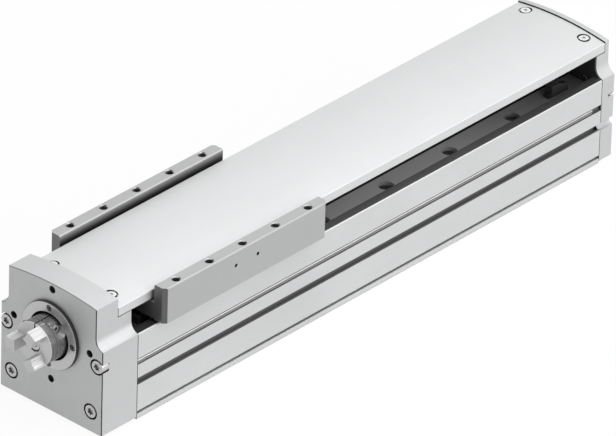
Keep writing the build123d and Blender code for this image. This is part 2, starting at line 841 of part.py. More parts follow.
def make_side_bar():
    """Upright bar of the carriage on the +Y side, chamfered at its outer corners."""
    half = carriage_length / 2
    bar = block(carriage_centre - half, carriage_centre + half, bar_inner_edge, bar_outer_edge, bar_bottom, bar_top)
    corners = bar.edges().filter_by(Axis.Z).group_by(Axis.Y)[-1]
    bar = chamfer(corners, bar_corner_chamfer)
    bar = chamfer(bar.edges().filter_by(Axis.X).group_by(Axis.Z)[-1], bar_edge_chamfer)
    for i in range(bar_hole_count):
        x = carriage_centre + bar_hole_pitch * (i - (bar_hole_count - 1) / 2)
        bar -= Pos(x, bar_spacing / 2, bar_top) * drilled(bar_hole_radius, bar_hole_depth)
        bar -= Pos(x, bar_spacing / 2, bar_top - bar_hole_chamfer / 2) * lead_in()
    for side in (-1, 1):
        x = carriage_centre + side * side_hole_spacing / 2
        bar -= Pos(x, bar_outer_edge, side_hole_height) * Rot(-90, 0, 0) * drilled(side_hole_radius, side_hole_depth)
    return bar


def lead_in():
    """Conical lead-in at the mouth of a tapped hole in a bar."""
    return Cone(bar_hole_radius, bar_hole_radius + bar_hole_chamfer, bar_hole_chamfer)


def make_carriage():
    """Carriage in one piece: a plate under the cover and an upright bar along each side."""
    start, end = carriage_centre - carriage_length / 2, carriage_centre + carriage_length / 2
    plate = block(start, end, -bar_inner_edge, bar_inner_edge, plate_underside, plate_top)
    half_boss, boss_side = plate_boss_length / 2, plate_boss_width / 2
    boss = block(
        carriage_centre - half_boss, carriage_centre + half_boss, -boss_side, boss_side, plate_underside, plate_roof
    )
    bar = make_side_bar()
    body = plate + boss + bar + mirrored(bar)
    body -= rod_x(spindle_radius + spindle_channel_gap, start, end)
    for cut in nut_pockets():
        body -= cut
    for x, y in runner_screw_places():
        floor = plate_top - runner_screw_head_height - carriage_counterbore_gap
        body -= rod_z(runner_screw_head_radius + carriage_counterbore_gap, floor, plate_top, x, y)
        body -= rod_z(runner_screw_radius + screw_gap, plate_underside, plate_top, x, y)
    for x, y in carrier_screw_places():
        floor = plate_roof - carrier_screw_head_height - carriage_counterbore_gap
        body -= rod_z(carrier_screw_head_radius + carriage_counterbore_gap, floor, plate_roof, x, y)
        body -= rod_z(carrier_screw_radius + screw_gap, carrier_top, plate_roof, x, y)
    return body


def nut_pockets():
    """Pockets in the carriage's underside for the nut's carrier, its flange and its body."""
    start = carriage_centre + nut_flange_front - carrier_pocket_gap
    flange_back = carriage_centre + nut_flange_back
    end = flange_back + carrier_length + carrier_pocket_gap
    side = carrier_width / 2 + carrier_pocket_gap
    bottom = plate_underside - 1
    slot = flange_slot_width / 2
    return [
        block(start, end, -side, side, bottom, carrier_top + same_body_gap),
        block(start, flange_back, -slot, slot, bottom, axis_height + nut_flange_radius + flange_slot_gap),
        rod_x(nut_radius + nut_clearance, start, flange_back + nut_body_length + nut_clearance),
    ]


def make_runner_screws():
    """Cap screws that hold the runner blocks under the plate."""
    length = plate_thickness - runner_screw_head_height - carriage_counterbore_gap + runner_screw_thread
    screw = plain_screw(runner_screw_head_radius, runner_screw_head_height, runner_screw_radius, length)
    return screws_from_above(screw, plate_top - carriage_counterbore_gap, runner_screw_places())


def make_carrier_screws():
    """Cap screws that hold the nut's carrier under the plate."""
    top = plate_roof - carriage_counterbore_gap
    length = top - carrier_screw_head_height - carrier_top + carrier_screw_thread
    screw = plain_screw(carrier_screw_head_radius, carrier_screw_head_height, carrier_screw_radius, length)
    return screws_from_above(screw, top, carrier_screw_places())


def runner_section(grow=0.0):
    """Runner between the rails: its ball rows bulge from each flank into the rails' tracks."""
    half = rail_inner - runner_side_gap - grow
    crown = half_crown - grow
    shoulder = rail_top + rail_top_gap + grow
    top = plate_underside - grow
    right = [(half, runner_bottom + grow), (half, shoulder), (crown, shoulder), (crown, top)]
    face = polygon(right + [(-y, z) for y, z in reversed(right)])
    for z in raceway_heights():
        for side in (-1, 1):
            face += Pos(side * (rail_inner - raceway_offset), z) * Circle(raceway_radius - race_insert_gap - grow)
    return face


def make_runner_block(end):
    """Runner block at one end of the carriage, bored for the spindle."""
    near = carriage_centre + end * (runner_start + runner_end_cap)
    far = carriage_centre + end * (runner_reach - runner_end_cap)
    near, far = min(near, far), max(near, far)
    body = along_x(runner_section(), near, far)
    body -= rod_x(spindle_radius + runner_bore_gap, near, far)
    bottom = plate_underside - runner_screw_thread - 1
    for x, y in runner_screw_places():
        if near < x < far:
            body -= rod_z(runner_screw_radius + screw_gap, bottom, plate_underside, x, y)
    return body


def make_runner_end_caps():
    """Plastic end caps on both faces of each runner block."""
    caps = []
    for end in (-1, 1):
        for near in (runner_start, runner_reach - runner_end_cap):
            places = (carriage_centre + end * near, carriage_centre + end * (near + runner_end_cap))
            cap = along_x(runner_section(runner_cap_inset), min(places), max(places))
            caps.append(cap - rod_x(spindle_radius + runner_bore_gap, min(places), max(places)))
    return caps


def make_ball_nut():
    """Ball nut with its flange cut away where it passes above the rails."""
    start = carriage_centre + nut_flange_front
    flange_end = start + nut_flange_thickness
    body = rod_x(nut_flange_radius, start, flange_end)
    reach = nut_flange_radius + 1
    relief = block(start, flange_end, rail_inner - rail_side_gap, reach, axis_height - reach, rail_top + rail_top_gap)
    body -= relief
    body -= mirrored(relief)
    body += rod_x(nut_radius, start, flange_end + nut_body_length)
    body -= rod_x(spindle_radius + nut_bore_gap, start, flange_end + nut_body_length)
    for y, z in nut_screw_places():
        body -= rod_x(nut_screw_head_radius + head_gap, start, start + nut_screw_head_height + head_gap, y, z)
        body -= rod_x(nut_screw_radius + screw_gap, start, flange_end, y, z)
    return body


def nut_screw_places():
    """Flange screws in the upper half of the nut's flange."""
    radius = nut_screw_circle / 2
    turns = [math.radians(a) for a in nut_screw_angles]
    return [(radius * math.cos(a), axis_height + radius * math.sin(a)) for a in turns]


def make_nut_screws():
    """Small cap screws through the nut's flange."""
    grip = nut_flange_thickness - nut_screw_head_height - head_gap
    screw = plain_screw(nut_screw_head_radius, nut_screw_head_height, nut_screw_radius, grip + nut_screw_thread)
    return screws_from_drive_end(screw, carriage_centre + nut_flange_front + head_gap, nut_screw_places())


def make_nut_carrier():
    """Saddle block that holds the ball nut under the carriage plate."""
    start = carriage_centre + nut_flange_back
    end = start + carrier_length
    body = block(start, end, -carrier_width / 2, carrier_width / 2, rail_top + rail_top_gap, carrier_top)
    body -= rod_x(nut_radius + same_body_gap, start, end)
    for y, z in nut_screw_places():
        body -= rod_x(nut_screw_radius + screw_gap, start, start + nut_screw_thread + 1, y, z)
    for x, y in carrier_screw_places():
        body -= rod_z(carrier_screw_radius + screw_gap, carrier_top - carrier_screw_thread - 1, carrier_top, x, y)
    return body


# Stops at the rails' ends
def make_end_stops(end):
    """Stop on each rail at one end of the travel: an upright face and a back that slopes away from it."""
    near, far = stop_face, stop_face + stop_length
    back, front = rail_top + stop_rear_height, rail_top + stop_height
    side = [(near, rail_top), (far, rail_top), (far, back), (near + stop_width, front), (near, front)]
    flank = polygon([(end * x, z) for x, z in side])
    body = extrude(Plane.XZ.offset(-rail_offset) * flank, amount=stop_width / 2, both=True)
    x = stop_screw_place(end)
    seat = rail_top + stop_rear_height - stop_screw_head_height
    body -= rod_z(stop_screw_head_radius + head_gap, seat, rail_top + stop_height, x, rail_offset)
    body -= rod_z(stop_screw_radius + screw_gap, rail_top, seat, x, rail_offset)
    return both_sides(body)


def make_stop_screws():
    """Screws that hold the stops on the rails."""
    grip = stop_rear_height - stop_screw_head_height
    screw = plain_screw(stop_screw_head_radius, stop_screw_head_height, stop_screw_radius, grip + stop_screw_thread)
    places = [(stop_screw_place(end), side * rail_offset) for end in (-1, 1) for side in (-1, 1)]
    return screws_from_above(screw, rail_top + stop_rear_height, places)


def make_stop_pads(end):
    """Rubber pad on the foot of each stop's face."""
    faces = (end * pad_tip, end * stop_face)
    half = pad_width / 2
    low = rail_top + pad_seat_gap
    return both_sides(block(min(faces), max(faces), rail_offset - half, rail_offset + half, low, low + pad_height))


guide_rail_left = make_guide_rail()

nodes = {
    "base_profile": [make_base_profile()],
    "slot_strips": make_slot_strips(),
    "guide_rail_left": [guide_rail_left],
    "guide_rail_right": [mirrored(guide_rail_left)],
    "rail_screws": make_rail_screws(),
    "drive_end_cap": [make_drive_cap()],
    "drive_cap_screws": make_cap_screws(drive_face, drive_cap_length, screws_from_drive_end),
    "rear_end_cap": [make_rear_cap()],
    "rear_cap_screws": make_cap_screws(rear_face, rear_cap_length, screws_from_far_end),
    "cover_plate": [make_cover_plate()],
    "cover_screws": make_cover_screws(),
    "bearing_retainer": [make_bearing_retainer()],
    "retainer_screws": make_retainer_screws(),
    "fixed_bearing_outer": [shielded_outer_ring(fixed_bearing_radius, *fixed_bearing_span, fixed_ring_radius)],
    "fixed_bearing_inner": [ring_x(fixed_ring_radius, bearing_journal_radius + same_body_gap, *fixed_bearing_span)],
    "bearing_lock_nut": [ring_x(lock_nut_radius, bearing_journal_radius + same_body_gap, *lock_nut_span)],
    "rear_bearing_outer": [shielded_outer_ring(rear_bearing_radius, *rear_bearing_span, rear_ring_radius)],
    "rear_bearing_inner": [ring_x(rear_ring_radius, rear_journal_radius + same_body_gap, *rear_bearing_span)],
    "ball_screw_spindle": [make_spindle()],
    "coupling_hub": [make_coupling_hub()],
    "hub_clamp_screw": [make_clamp_screw()],
    "hub_centre_screw": [make_centre_screw()],
    "carriage": [make_carriage()],
    "runner_block_front": [make_runner_block(-1)],
    "runner_block_rear": [make_runner_block(1)],
    "runner_end_caps": make_runner_end_caps(),
    "runner_screws": make_runner_screws(),
    "ball_nut": [make_ball_nut()],
    "nut_screws": make_nut_screws(),
    "nut_carrier": [make_nut_carrier()],
    "carrier_screws": make_carrier_screws(),
    "end_stops_front": make_end_stops(-1),
    "end_stops_rear": make_end_stops(1),
    "stop_screws": make_stop_screws(),
    "stop_pads_front": make_stop_pads(-1),
    "stop_pads_rear": make_stop_pads(1),
}

os.makedirs("parts", exist_ok=True)
for name, shapes in nodes.items():
    solids = [solid for shape in shapes for solid in shape.solids()]
    export_step(solids[0] if len(solids) == 1 else Compound(children=solids), f"parts/{name}.step")
    print(name, len(solids))
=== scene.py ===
"""Looks of a ball screw linear axis: finishes, turned and milled detail, light and camera."""

import json
import logging
import math
from dataclasses import dataclass
from enum import Enum
from typing import Callable, Sequence

import bpy
from mathutils import Matrix, Vector

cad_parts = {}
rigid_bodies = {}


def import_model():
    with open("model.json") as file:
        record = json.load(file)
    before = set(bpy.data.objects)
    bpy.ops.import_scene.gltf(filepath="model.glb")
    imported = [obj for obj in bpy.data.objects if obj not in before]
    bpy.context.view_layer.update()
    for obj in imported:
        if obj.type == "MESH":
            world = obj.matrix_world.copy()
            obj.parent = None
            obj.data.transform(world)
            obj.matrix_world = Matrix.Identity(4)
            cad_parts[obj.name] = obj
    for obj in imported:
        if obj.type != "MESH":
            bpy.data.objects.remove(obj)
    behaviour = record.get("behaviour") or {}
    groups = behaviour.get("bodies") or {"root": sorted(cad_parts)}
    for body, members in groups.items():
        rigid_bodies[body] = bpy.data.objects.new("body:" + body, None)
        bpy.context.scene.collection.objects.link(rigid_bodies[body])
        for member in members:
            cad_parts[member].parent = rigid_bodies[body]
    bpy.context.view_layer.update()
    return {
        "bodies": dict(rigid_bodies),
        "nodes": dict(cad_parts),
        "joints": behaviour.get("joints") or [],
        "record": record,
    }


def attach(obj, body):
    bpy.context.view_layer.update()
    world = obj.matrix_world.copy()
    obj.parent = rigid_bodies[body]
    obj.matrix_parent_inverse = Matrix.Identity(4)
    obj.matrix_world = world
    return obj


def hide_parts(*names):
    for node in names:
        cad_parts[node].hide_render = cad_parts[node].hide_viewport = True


log = logging.getLogger("linear_axis")

Colour = tuple[float, float, float]
FaceTest = Callable[[Vector, Vector], bool]
Object = bpy.types.Object
Socket = bpy.types.NodeSocket

MM = 0.001
WHITE = (1.0, 1.0, 1.0)

# Places that the solids share, in metres
AXIS_HEIGHT = 76.5 * MM
DRIVE_FACE = -331.7 * MM
REAR_FACE = 305.8 * MM
HUB_FACE = DRIVE_FACE - 21.0 * MM
CAP_SCREW_SPOTS = tuple(
    (y * MM, z * MM) for y, z in ((-45.0, 21.5), (45.0, 21.5), (-51.4, 67.1), (51.4, 67.1))
)
COVER_SCREW_SPOTS = tuple((x * MM, y * MM) for x in (-296.7, 291.0) for y in (-33.3, 33.3))
RING_SCREW_SPOTS = tuple(
    (y * MM, AXIS_HEIGHT + z * MM) for y, z in ((26.6, 0), (-26.6, 0), (0, 26.6), (0, -26.6))
)

# Sockets of the node that mixes colours
MIX_FACTOR, MIX_FIRST, MIX_SECOND, MIX_RESULT = 0, 6, 7, 2

# Scales of the patterns that all finishes share, and the depth of their fine lines
CLOUD_SCALE = (14.0, 26.0, 26.0)
SMUDGE_SCALE = (60.0, 90.0, 90.0)
PIT_SCALE = (2600.0, 2600.0, 2600.0)
LINE_DEPTH = 0.000004

# Painted shade in gaps, slots and holes: how far off a wall it still reaches, and the openness at
# which it is full and at which it is gone
CREVICE_REACH = 7.0 * MM
CREVICE_DARK, CREVICE_CLEAR = 0.15, 0.6

# Distance from the middle, in metres, where the painted shade towards the ends starts and is full
END_SHADE_START, END_SHADE_END = 0.12, 0.29

# Edges sharper than this are broken
SHARP_ANGLE = math.radians(35.0)


class Body(Enum):
    """Rigid bodies of the axis."""

    BASE = "base"
    CARRIAGE = "carriage_body"
    SPINDLE = "spindle_body"


class Grain(Enum):
    """Direction of the fine lines that a finish shows, as a scale along X, Y and Z."""

    ALONG_X = (6.0, 900.0, 900.0)
    ALONG_Z = (900.0, 900.0, 30.0)
    AROUND_X = (1400.0, 0.0, 0.0)
    NONE = (500.0, 500.0, 500.0)


# Finishes


class ShaderSheet:
    """Node tree of one material, with short calls for the nodes that the finishes share."""

    def __init__(self, name: str) -> None:
        """Starts an empty tree with a Principled shader.

        Args:
            name: Name of the material.
        """
        self.material = bpy.data.materials.new(name)
        self.material.use_nodes = True
        self.tree = self.material.node_tree
        self.shader = self.tree.nodes["Principled BSDF"]

    def add(self, kind: str, **values: object) -> bpy.types.Node:
        """Adds a node and sets its properties.

        Args:
            kind: Blender's name of the node type.
            values: Properties of the node.

        Returns:
            The new node.
        """
        node = self.tree.nodes.new(kind)
        for key, value in values.items():
            setattr(node, key, value)
        return node

    def link(self, source: Socket, target: Socket) -> None:
        """Joins two sockets."""
        self.tree.links.new(source, target)

    def place_along(self, axis: str) -> Socket:
        """Object coordinate along one axis.

        Args:
            axis: X, Y or Z.

        Returns:
            The socket of the coordinate.
        """
        place = self.add("ShaderNodeTexCoord")
        parts = self.add("ShaderNodeSeparateXYZ")
        self.link(place.outputs["Object"], parts.inputs[0])
        return parts.outputs[axis]

    def noise(self, scale: Sequence[float], detail: float, roughness: float = 0.5) -> Socket:
        """Noise on Object coordinates.

        Args:
            scale: Scale along X, Y and Z.
            detail: Octaves of the noise.
            roughness: Weight of the fine octaves.

        Returns:
            The socket of the noise value.
        """
        place = self.add("ShaderNodeTexCoord")
        mapping = self.add("ShaderNodeMapping")
        mapping.inputs["Scale"].default_value = scale
        self.link(place.outputs["Object"], mapping.inputs["Vector"])
        node = self.add("ShaderNodeTexNoise")
        for name, value in (("Scale", 1.0), ("Detail", detail), ("Roughness", roughness)):
            node.inputs[name].default_value = value
        self.link(mapping.outputs["Vector"], node.inputs["Vector"])
        return node.outputs["Fac"]

    def map_range(
        self, source: Socket, start: float, end: float, low: float, high: float
    ) -> Socket:
        """Maps a value from one range to another and holds it there.

        Args:
            source: Value to map.
            start: Value that gives the result low.
            end: Value that gives the result high.
            low: Result at start.
            high: Result at end.

        Returns:
            The socket of the mapped value.
        """
        node = self.add("ShaderNodeMapRange")
        limits = {"From Min": start, "From Max": end, "To Min": low, "To Max": high}
        for name, value in limits.items():
            node.inputs[name].default_value = value
        self.link(source, node.inputs["Value"])
        return node.outputs["Result"]

    def spread(self, source: Socket, low: float, high: float) -> Socket:
        """Maps noise, which lies mostly from 0.3 to 0.7, to another range.

        Args:
            source: Value to map.
            low: Result at 0.3.
            high: Result at 0.7.

        Returns:
            The socket of the mapped value.
        """
        return self.map_range(source, 0.3, 0.7, low, high)

    def blend(self, factor: Socket, first: Colour, second: Colour) -> Socket:
        """Mixes two colours.

        Args:
            factor: Share of the second colour.
            first: Colour at 0.
            second: Colour at 1.

        Returns:
            The socket of the mixed colour.
        """
        node = self.add("ShaderNodeMix", data_type="RGBA")
        node.inputs[MIX_FIRST].default_value = (*first, 1.0)
        node.inputs[MIX_SECOND].default_value = (*second, 1.0)
        self.link(factor, node.inputs[MIX_FACTOR])
        return node.outputs[MIX_RESULT]

    def multiplied(self, colour: Socket, value: Socket) -> Socket:
        """Darkens a colour by a value.

        Args:
            colour: Colour to darken.
            value: 1 keeps it, 0 makes it black.

        Returns:
            The socket of the darkened colour.
        """
        node = self.add("ShaderNodeMix", data_type="RGBA", blend_type="MULTIPLY")
        node.inputs[MIX_FACTOR].default_value = 1.0
        self.link(colour, node.inputs[MIX_FIRST])
        self.link(value, node.inputs[MIX_SECOND])
        return node.outputs[MIX_RESULT]

    def painted_crevice_shade(self, share: float) -> Socket:
        """A value that falls in gaps, slots and holes, to paint the shade there.

        Args:
            share: How far it falls.

        Returns:
            The socket of the value.
        """
        near = self.add("ShaderNodeAmbientOcclusion", samples=6)
        near.inputs["Distance"].default_value = CREVICE_REACH
        return self.map_range(
            near.outputs["AO"], CREVICE_DARK, CREVICE_CLEAR, 1.0 - share, 1.0
        )

    def painted_end_shade(self, share: float) -> Socket:
        """A value that falls towards both ends of the axis, to paint the shade there.

        Args:
            share: How far it falls.

        Returns:
            The socket of the value.
        """
        size = self.add("ShaderNodeMath", operation="ABSOLUTE")
        self.link(self.place_along("X"), size.inputs[0])
        return self.map_range(size.outputs[0], END_SHADE_START, END_SHADE_END, 1.0, 1.0 - share)

    def painted_shade_bands(self, shade_bands: Sequence[tuple[float, float]]) -> Socket:
        """Stripes of different brightness, one above the other, that paint light and shade.

        Args:
            shade_bands: Height in millimetres at which each band of painted light and shade starts,
                and the band's brightness.

        Returns:
            The socket of the bands' colour.
        """
        bottom, top = shade_bands[0][0], shade_bands[-1][0] + 1.0
        share = self.map_range(self.place_along("Z"), bottom * MM, top * MM, 0.0, 1.0)
        ramp = self.add("ShaderNodeValToRGB")
        ramp.color_ramp.interpolation = "CONSTANT"
        stops = ramp.color_ramp.elements
        while len(stops) < len(shade_bands):
            stops.new(0.5)
        for stop, (height, value) in zip(stops, shade_bands):
            stop.position = (height - bottom) / (top - bottom)
            stop.color = (value, value, value, 1.0)
        self.link(share, ramp.inputs[0])
        return ramp.outputs["Color"]

    def bump(self, height: Socket, distance: float) -> None:
        """Adds a bump to the shader's normal, on top of any bump before it.

        Args:
            height: Height pattern.
            distance: Depth of the pattern in metres.
        """
        node = self.add("ShaderNodeBump")
        node.inputs["Distance"].default_value = distance
        node.inputs["Strength"].default_value = 1.0
        self.link(height, node.inputs["Height"])
        normal = self.shader.inputs["Normal"]
        if normal.is_linked:
            self.link(normal.links[0].from_socket, node.inputs["Normal"])
        self.link(node.outputs["Normal"], normal)


@dataclass(frozen=True)
class Finish:
    """A finish with fine grain, cloudy colour, uneven gloss and painted shade in gaps and holes.

    Attributes:
        name: Name of the material.
        colour: Main colour.
        metallic: How metallic the surface is.
        roughness: Lowest and highest roughness.
        grain: Direction of the fine lines.
        cloud: How far the colour darkens in clouds, as a share.
        line: How far the colour darkens in the fine lines, as a share.
        pits: Depth of the pits of a blasted surface in metres.
        crevice_shade: How far painted shade darkens the colour in narrow gaps and holes, as a
            share.
        end_shade: How far painted shade darkens the colour towards both ends of the axis, as a
            share.
        shade_bands: Height in millimetres at which each band of painted light and shade starts, and
            the band's brightness.
    """

    name: str
    colour: Colour
    metallic: float = 0.5
    roughness: tuple[float, float] = (0.4, 0.5)
    grain: Grain = Grain.ALONG_X
    cloud: float = 0.06
    line: float = 0.05
    pits: float = 0.0
    crevice_shade: float = 0.85
    end_shade: float = 0.0
    shade_bands: tuple[tuple[float, float], ...] = ()

    def material(self) -> bpy.types.Material:
        """Builds the material once and returns it from then on."""
        ready = bpy.data.materials.get(self.name)
        if ready:
            return ready
        sheet = ShaderSheet(self.name)
        shader = sheet.shader
        shader.inputs["Metallic"].default_value = self.metallic
        clouds = sheet.noise(CLOUD_SCALE, 5.0, 0.6)
        lines = sheet.noise(self.grain.value, 3.0, 0.6)
        darker = tuple(level * (1.0 - self.cloud) for level in self.colour)
        tint = sheet.blend(sheet.spread(clouds, 0.0, 1.0), self.colour, darker)
        streak = sheet.blend(sheet.spread(lines, 0.0, 1.0), WHITE, (1.0 - self.line,) * 3)
        # Painted shade in gaps and holes darkens the colour
        colour = sheet.multiplied(sheet.multiplied(tint, streak), sheet.painted_crevice_shade(self.crevice_shade))
        # Painted shade towards both ends of the axis
        if self.end_shade:
            colour = sheet.multiplied(colour, sheet.painted_end_shade(self.end_shade))
        # Painted light and shade in steps by height
        if self.shade_bands:
            colour = sheet.multiplied(colour, sheet.painted_shade_bands(self.shade_bands))
        sheet.link(colour, shader.inputs["Base Color"])
        smudge = sheet.spread(sheet.noise(SMUDGE_SCALE, 6.0, 0.65), *self.roughness)
        sheet.link(smudge, shader.inputs["Roughness"])
        sheet.bump(lines, LINE_DEPTH)
        if self.pits:
            sheet.bump(sheet.noise(PIT_SCALE, 2.0), self.pits)
        return sheet.material


def grey(level: float) -> Colour:
    """A neutral colour of one level."""
    return (level, level, level)


# Painted light and shade: height in millimetres at which each band starts, and the band's
# brightness
# Painted shade on the bars' inner sides, darker in steps towards the bottom
BAR_SHADE_BANDS = ((80.0, 0.02), (110.5, 0.05), (112.5, 0.1), (114.5, 0.18), (116.5, 0.3), (118.0, 0.42))
# Painted light and shade on the strips: from the top a dark line of shade under the groove's lip, a
# bright stripe of highlight, a dark line and a grey band
STRIP_SHADE_BANDS = ((53.0, 0.5), (56.2, 0.12), (56.75, 1.0), (57.5, 0.08))

EXTRUSION = Finish(
    "satin_anodised_extrusion", (0.68, 0.685, 0.69), roughness=(0.42, 0.54),
    line=0.02, pits=0.000003,
)
# Painted shade on the tops of the profile's walls, inside the channel and on the caps' inner faces,
# darker still towards the ends
CHANNEL_SHADE = Finish(
    "shaded_profile_land", (0.085, 0.085, 0.086), metallic=0.3, roughness=(0.45, 0.6), end_shade=0.6
)
MILLED = Finish(
    "milled_anodised_cap", (0.6, 0.605, 0.61), roughness=(0.4, 0.52),
    grain=Grain.ALONG_Z, line=0.012, cloud=0.03, pits=0.000003,
)
COVER = Finish(
    "anodised_cover", (0.7, 0.705, 0.71), roughness=(0.5, 0.62),
    line=0.012, cloud=0.03, pits=0.000004,
)
CARRIAGE = Finish(
    "anodised_carriage", (0.47, 0.473, 0.476), roughness=(0.42, 0.54),
    line=0.015, cloud=0.03, pits=0.000003,
)
# Painted shade, near-black, on the caps' end chamfers and in counterbores, screw recesses, bores
# and the hub's slit
EDGE = Finish("painted_edge_and_gap_shade", grey(0.04), metallic=0.3, grain=Grain.NONE)
# Painted shade on the back walls of the T-slots and upper grooves
SLOT_WALL_SHADE = Finish("shaded_slot_wall", grey(0.13), metallic=0.0, crevice_shade=0.3)
# Painted light on the slots' lower walls: a flat tone with no metal reflection, lighter than the
# painted shade of their back walls
SLOT_FLOOR_LIGHT = Finish("lit_slot_floor", grey(0.2), metallic=0.0)
# Painted shade: a dark grey line on the chamfers along the caps' arched tops
ARCH_EDGE_SHADE = Finish("painted_arch_edge_shade", grey(0.3), metallic=0.3, grain=Grain.NONE)
# Painted highlight along the broken lower lips of the side grooves
LIP_HIGHLIGHT = Finish("painted_lip_highlight", grey(0.95), metallic=0.3, roughness=(0.3, 0.4), crevice_shade=0.1)
# Painted light: the clamp groove's sloping wall faces down into shade and is made pale and
# mirror-like
FOOT_GROOVE_LIGHT = Finish("lit_foot_groove", grey(0.8), metallic=0.95, crevice_shade=0.1)
# Painted shade on the end faces of the carriage's bars
BAR_END_SHADE = Finish("painted_bar_end_shade", grey(0.19), roughness=(0.35, 0.45), grain=Grain.ALONG_Z)
# Painted shade on the chamfered upright corners of the bars
BAR_CORNER_SHADE = Finish("painted_bar_corner_shade", grey(0.13), roughness=(0.3, 0.4), grain=Grain.ALONG_Z)
# Painted shade on the bars' sides that face the cover, near-black at the bottom
BAR_INSIDE_SHADE = Finish(
    "shaded_bar_side", grey(0.8), metallic=0.1, roughness=(0.45, 0.55), shade_bands=BAR_SHADE_BANDS
)
# Painted shade: a near-black rim round the retainer ring, with turning lines
RING_RIM_SHADE = Finish(
    "painted_ring_rim_shade", grey(0.05), metallic=0.6, roughness=(0.3, 0.4), grain=Grain.AROUND_X
)
# Painted shade on the walls of the tapped and motor holes and on the small screws deep in the
# ring's counterbores
HOLE_SHADE = Finish(
    "painted_hole_shade", grey(0.2), metallic=0.6, roughness=(0.3, 0.4), grain=Grain.NONE, crevice_shade=0.6
)
# Painted shade: the rails, runner blocks and nut darken towards both ends of the axis
GROUND = Finish(
    "ground_rail_steel", grey(0.7), metallic=0.35, roughness=(0.42, 0.52),
    line=0.06, cloud=0.04, end_shade=0.85, crevice_shade=0.7,
)
HUB = Finish(
    "turned_hub_alloy", grey(0.68), roughness=(0.36, 0.46),
    grain=Grain.AROUND_X, line=0.08, crevice_shade=0.25,
)
# Painted dark reflection on the hub's turned side, with strong real turning lines
HUB_SIDE_REFLECTION = Finish(
    "painted_hub_side_reflection", grey(0.34), metallic=0.75, roughness=(0.24, 0.34),
    grain=Grain.AROUND_X, line=0.45,
)
RING = Finish(
    "turned_steel_ring", grey(0.6), metallic=0.7, roughness=(0.26, 0.38),
    grain=Grain.NONE, line=0.06,
)
SCREW = Finish(
    "zinc_plated_screw", grey(0.66), metallic=0.6, roughness=(0.28, 0.42),
    grain=Grain.NONE, line=0.08, cloud=0.1,
)
BRIGHT_SCREW = Finish(
    "bright_zinc_screw", grey(0.9), metallic=0.3, roughness=(0.3, 0.42),
    grain=Grain.NONE, cloud=0.05,
)
# Painted shade, near-black, on screw flanks down in their counterbores and on the screws in the
# channel
SCREW_SHADE = Finish("painted_screw_shade", grey(0.03), metallic=0.3, grain=Grain.NONE)
SPINDLE = Finish(
    "rolled_spindle_steel", grey(0.4), metallic=0.7, roughness=(0.24, 0.34), grain=Grain.NONE
)
PLASTIC = Finish(
    "moulded_grey_plastic", grey(0.12), metallic=0.0, roughness=(0.5, 0.65),
    grain=Grain.NONE, pits=0.000008,
)
# Painted highlight and shade in stripes across the strips
STRIP = Finish("pressed_in_strip", grey(0.8), roughness=(0.4, 0.55), crevice_shade=0.3, shade_bands=STRIP_SHADE_BANDS)
DARK_STOP = Finish(
    "dark_moulded_stop", grey(0.035), metallic=0.0, roughness=(0.45, 0.6),
    grain=Grain.NONE, pits=0.000008,
)
RUBBER = Finish(
    "black_rubber", grey(0.012), metallic=0.0, roughness=(0.6, 0.8),
    grain=Grain.NONE, pits=0.00001,
)


# Working on meshes


def deselect() -> None:
    """Clears the selection."""
    for other in bpy.context.selected_objects:
        other.select_set(False)


def only(obj: Object) -> None:
    """Selects one object alone and makes it active."""
    deselect()
    bpy.context.view_layer.objects.active = obj
    obj.select_set(True)


def apply_modifier(obj: Object, kind: str, **values: object) -> None:
    """Adds a modifier, sets it and applies it.

    Args:
        obj: Object to change.
        kind: Blender's name of the modifier.
        values: Settings of the modifier.
    """
    only(obj)
    modifier = obj.modifiers.new(kind.lower(), kind)
    for key, value in values.items():
        setattr(modifier, key, value)
    bpy.ops.object.modifier_apply(modifier=modifier.name)


def apply_boolean(obj: Object, cutter: Object, operation: str) -> None:
    """Cuts or joins a closed mesh with another and removes the other.

    Args:
        obj: Object to change.
        cutter: Closed object that cuts or is added.
        operation: DIFFERENCE, UNION or INTERSECT.
    """
    apply_modifier(obj, "BOOLEAN", object=cutter, operation=operation, solver="EXACT")
    bpy.data.objects.remove(cutter)


def edit_all(obj: Object, *acts: Callable[[], object]) -> None:
    """Runs edit-mode operators on a whole mesh, one after the other.

    Args:
        obj: Object to edit.
        acts: The operators' calls.
    """
    only(obj)
    bpy.ops.object.mode_set(mode="EDIT")
    bpy.ops.mesh.select_all(action="SELECT")
    for act in acts:
        act()
    bpy.ops.object.mode_set(mode="OBJECT")


def bevel(
    obj: Object, mode: str, pick: Callable[[object], bool], width: float, segments: int
) -> None:
    """Bevels the edges, or the edges of the faces, that pass a test.

    Args:
        obj: Object to edit.
        mode: FACE or EDGE.
        pick: Test of a face or an edge.
        width: Width of the bevel in metres.
        segments: Faces across the bevel.
    """
    only(obj)
    bpy.ops.object.mode_set(mode="EDIT")
    bpy.ops.mesh.select_mode(type=mode)
    bpy.ops.mesh.select_all(action="DESELECT")
    bpy.ops.object.mode_set(mode="OBJECT")
    for item in obj.data.polygons if mode == "FACE" else obj.data.edges:
        item.select = pick(item)
    bpy.ops.object.mode_set(mode="EDIT")
    bpy.ops.mesh.bevel(offset=width, segments=segments, affect="EDGES")
    bpy.ops.object.mode_set(mode="OBJECT")


def settle(obj: Object) -> None:
    """Puts an object's place and turn into its mesh."""
    only(obj)
    bpy.ops.object.transform_apply(location=True, rotation=True, scale=True)


def smooth(obj: Object, degrees: float = 30.0) -> None:
    """Shades smooth except across edges sharper than an angle."""
    only(obj)
    bpy.ops.object.shade_smooth_by_angle(angle=math.radians(degrees))


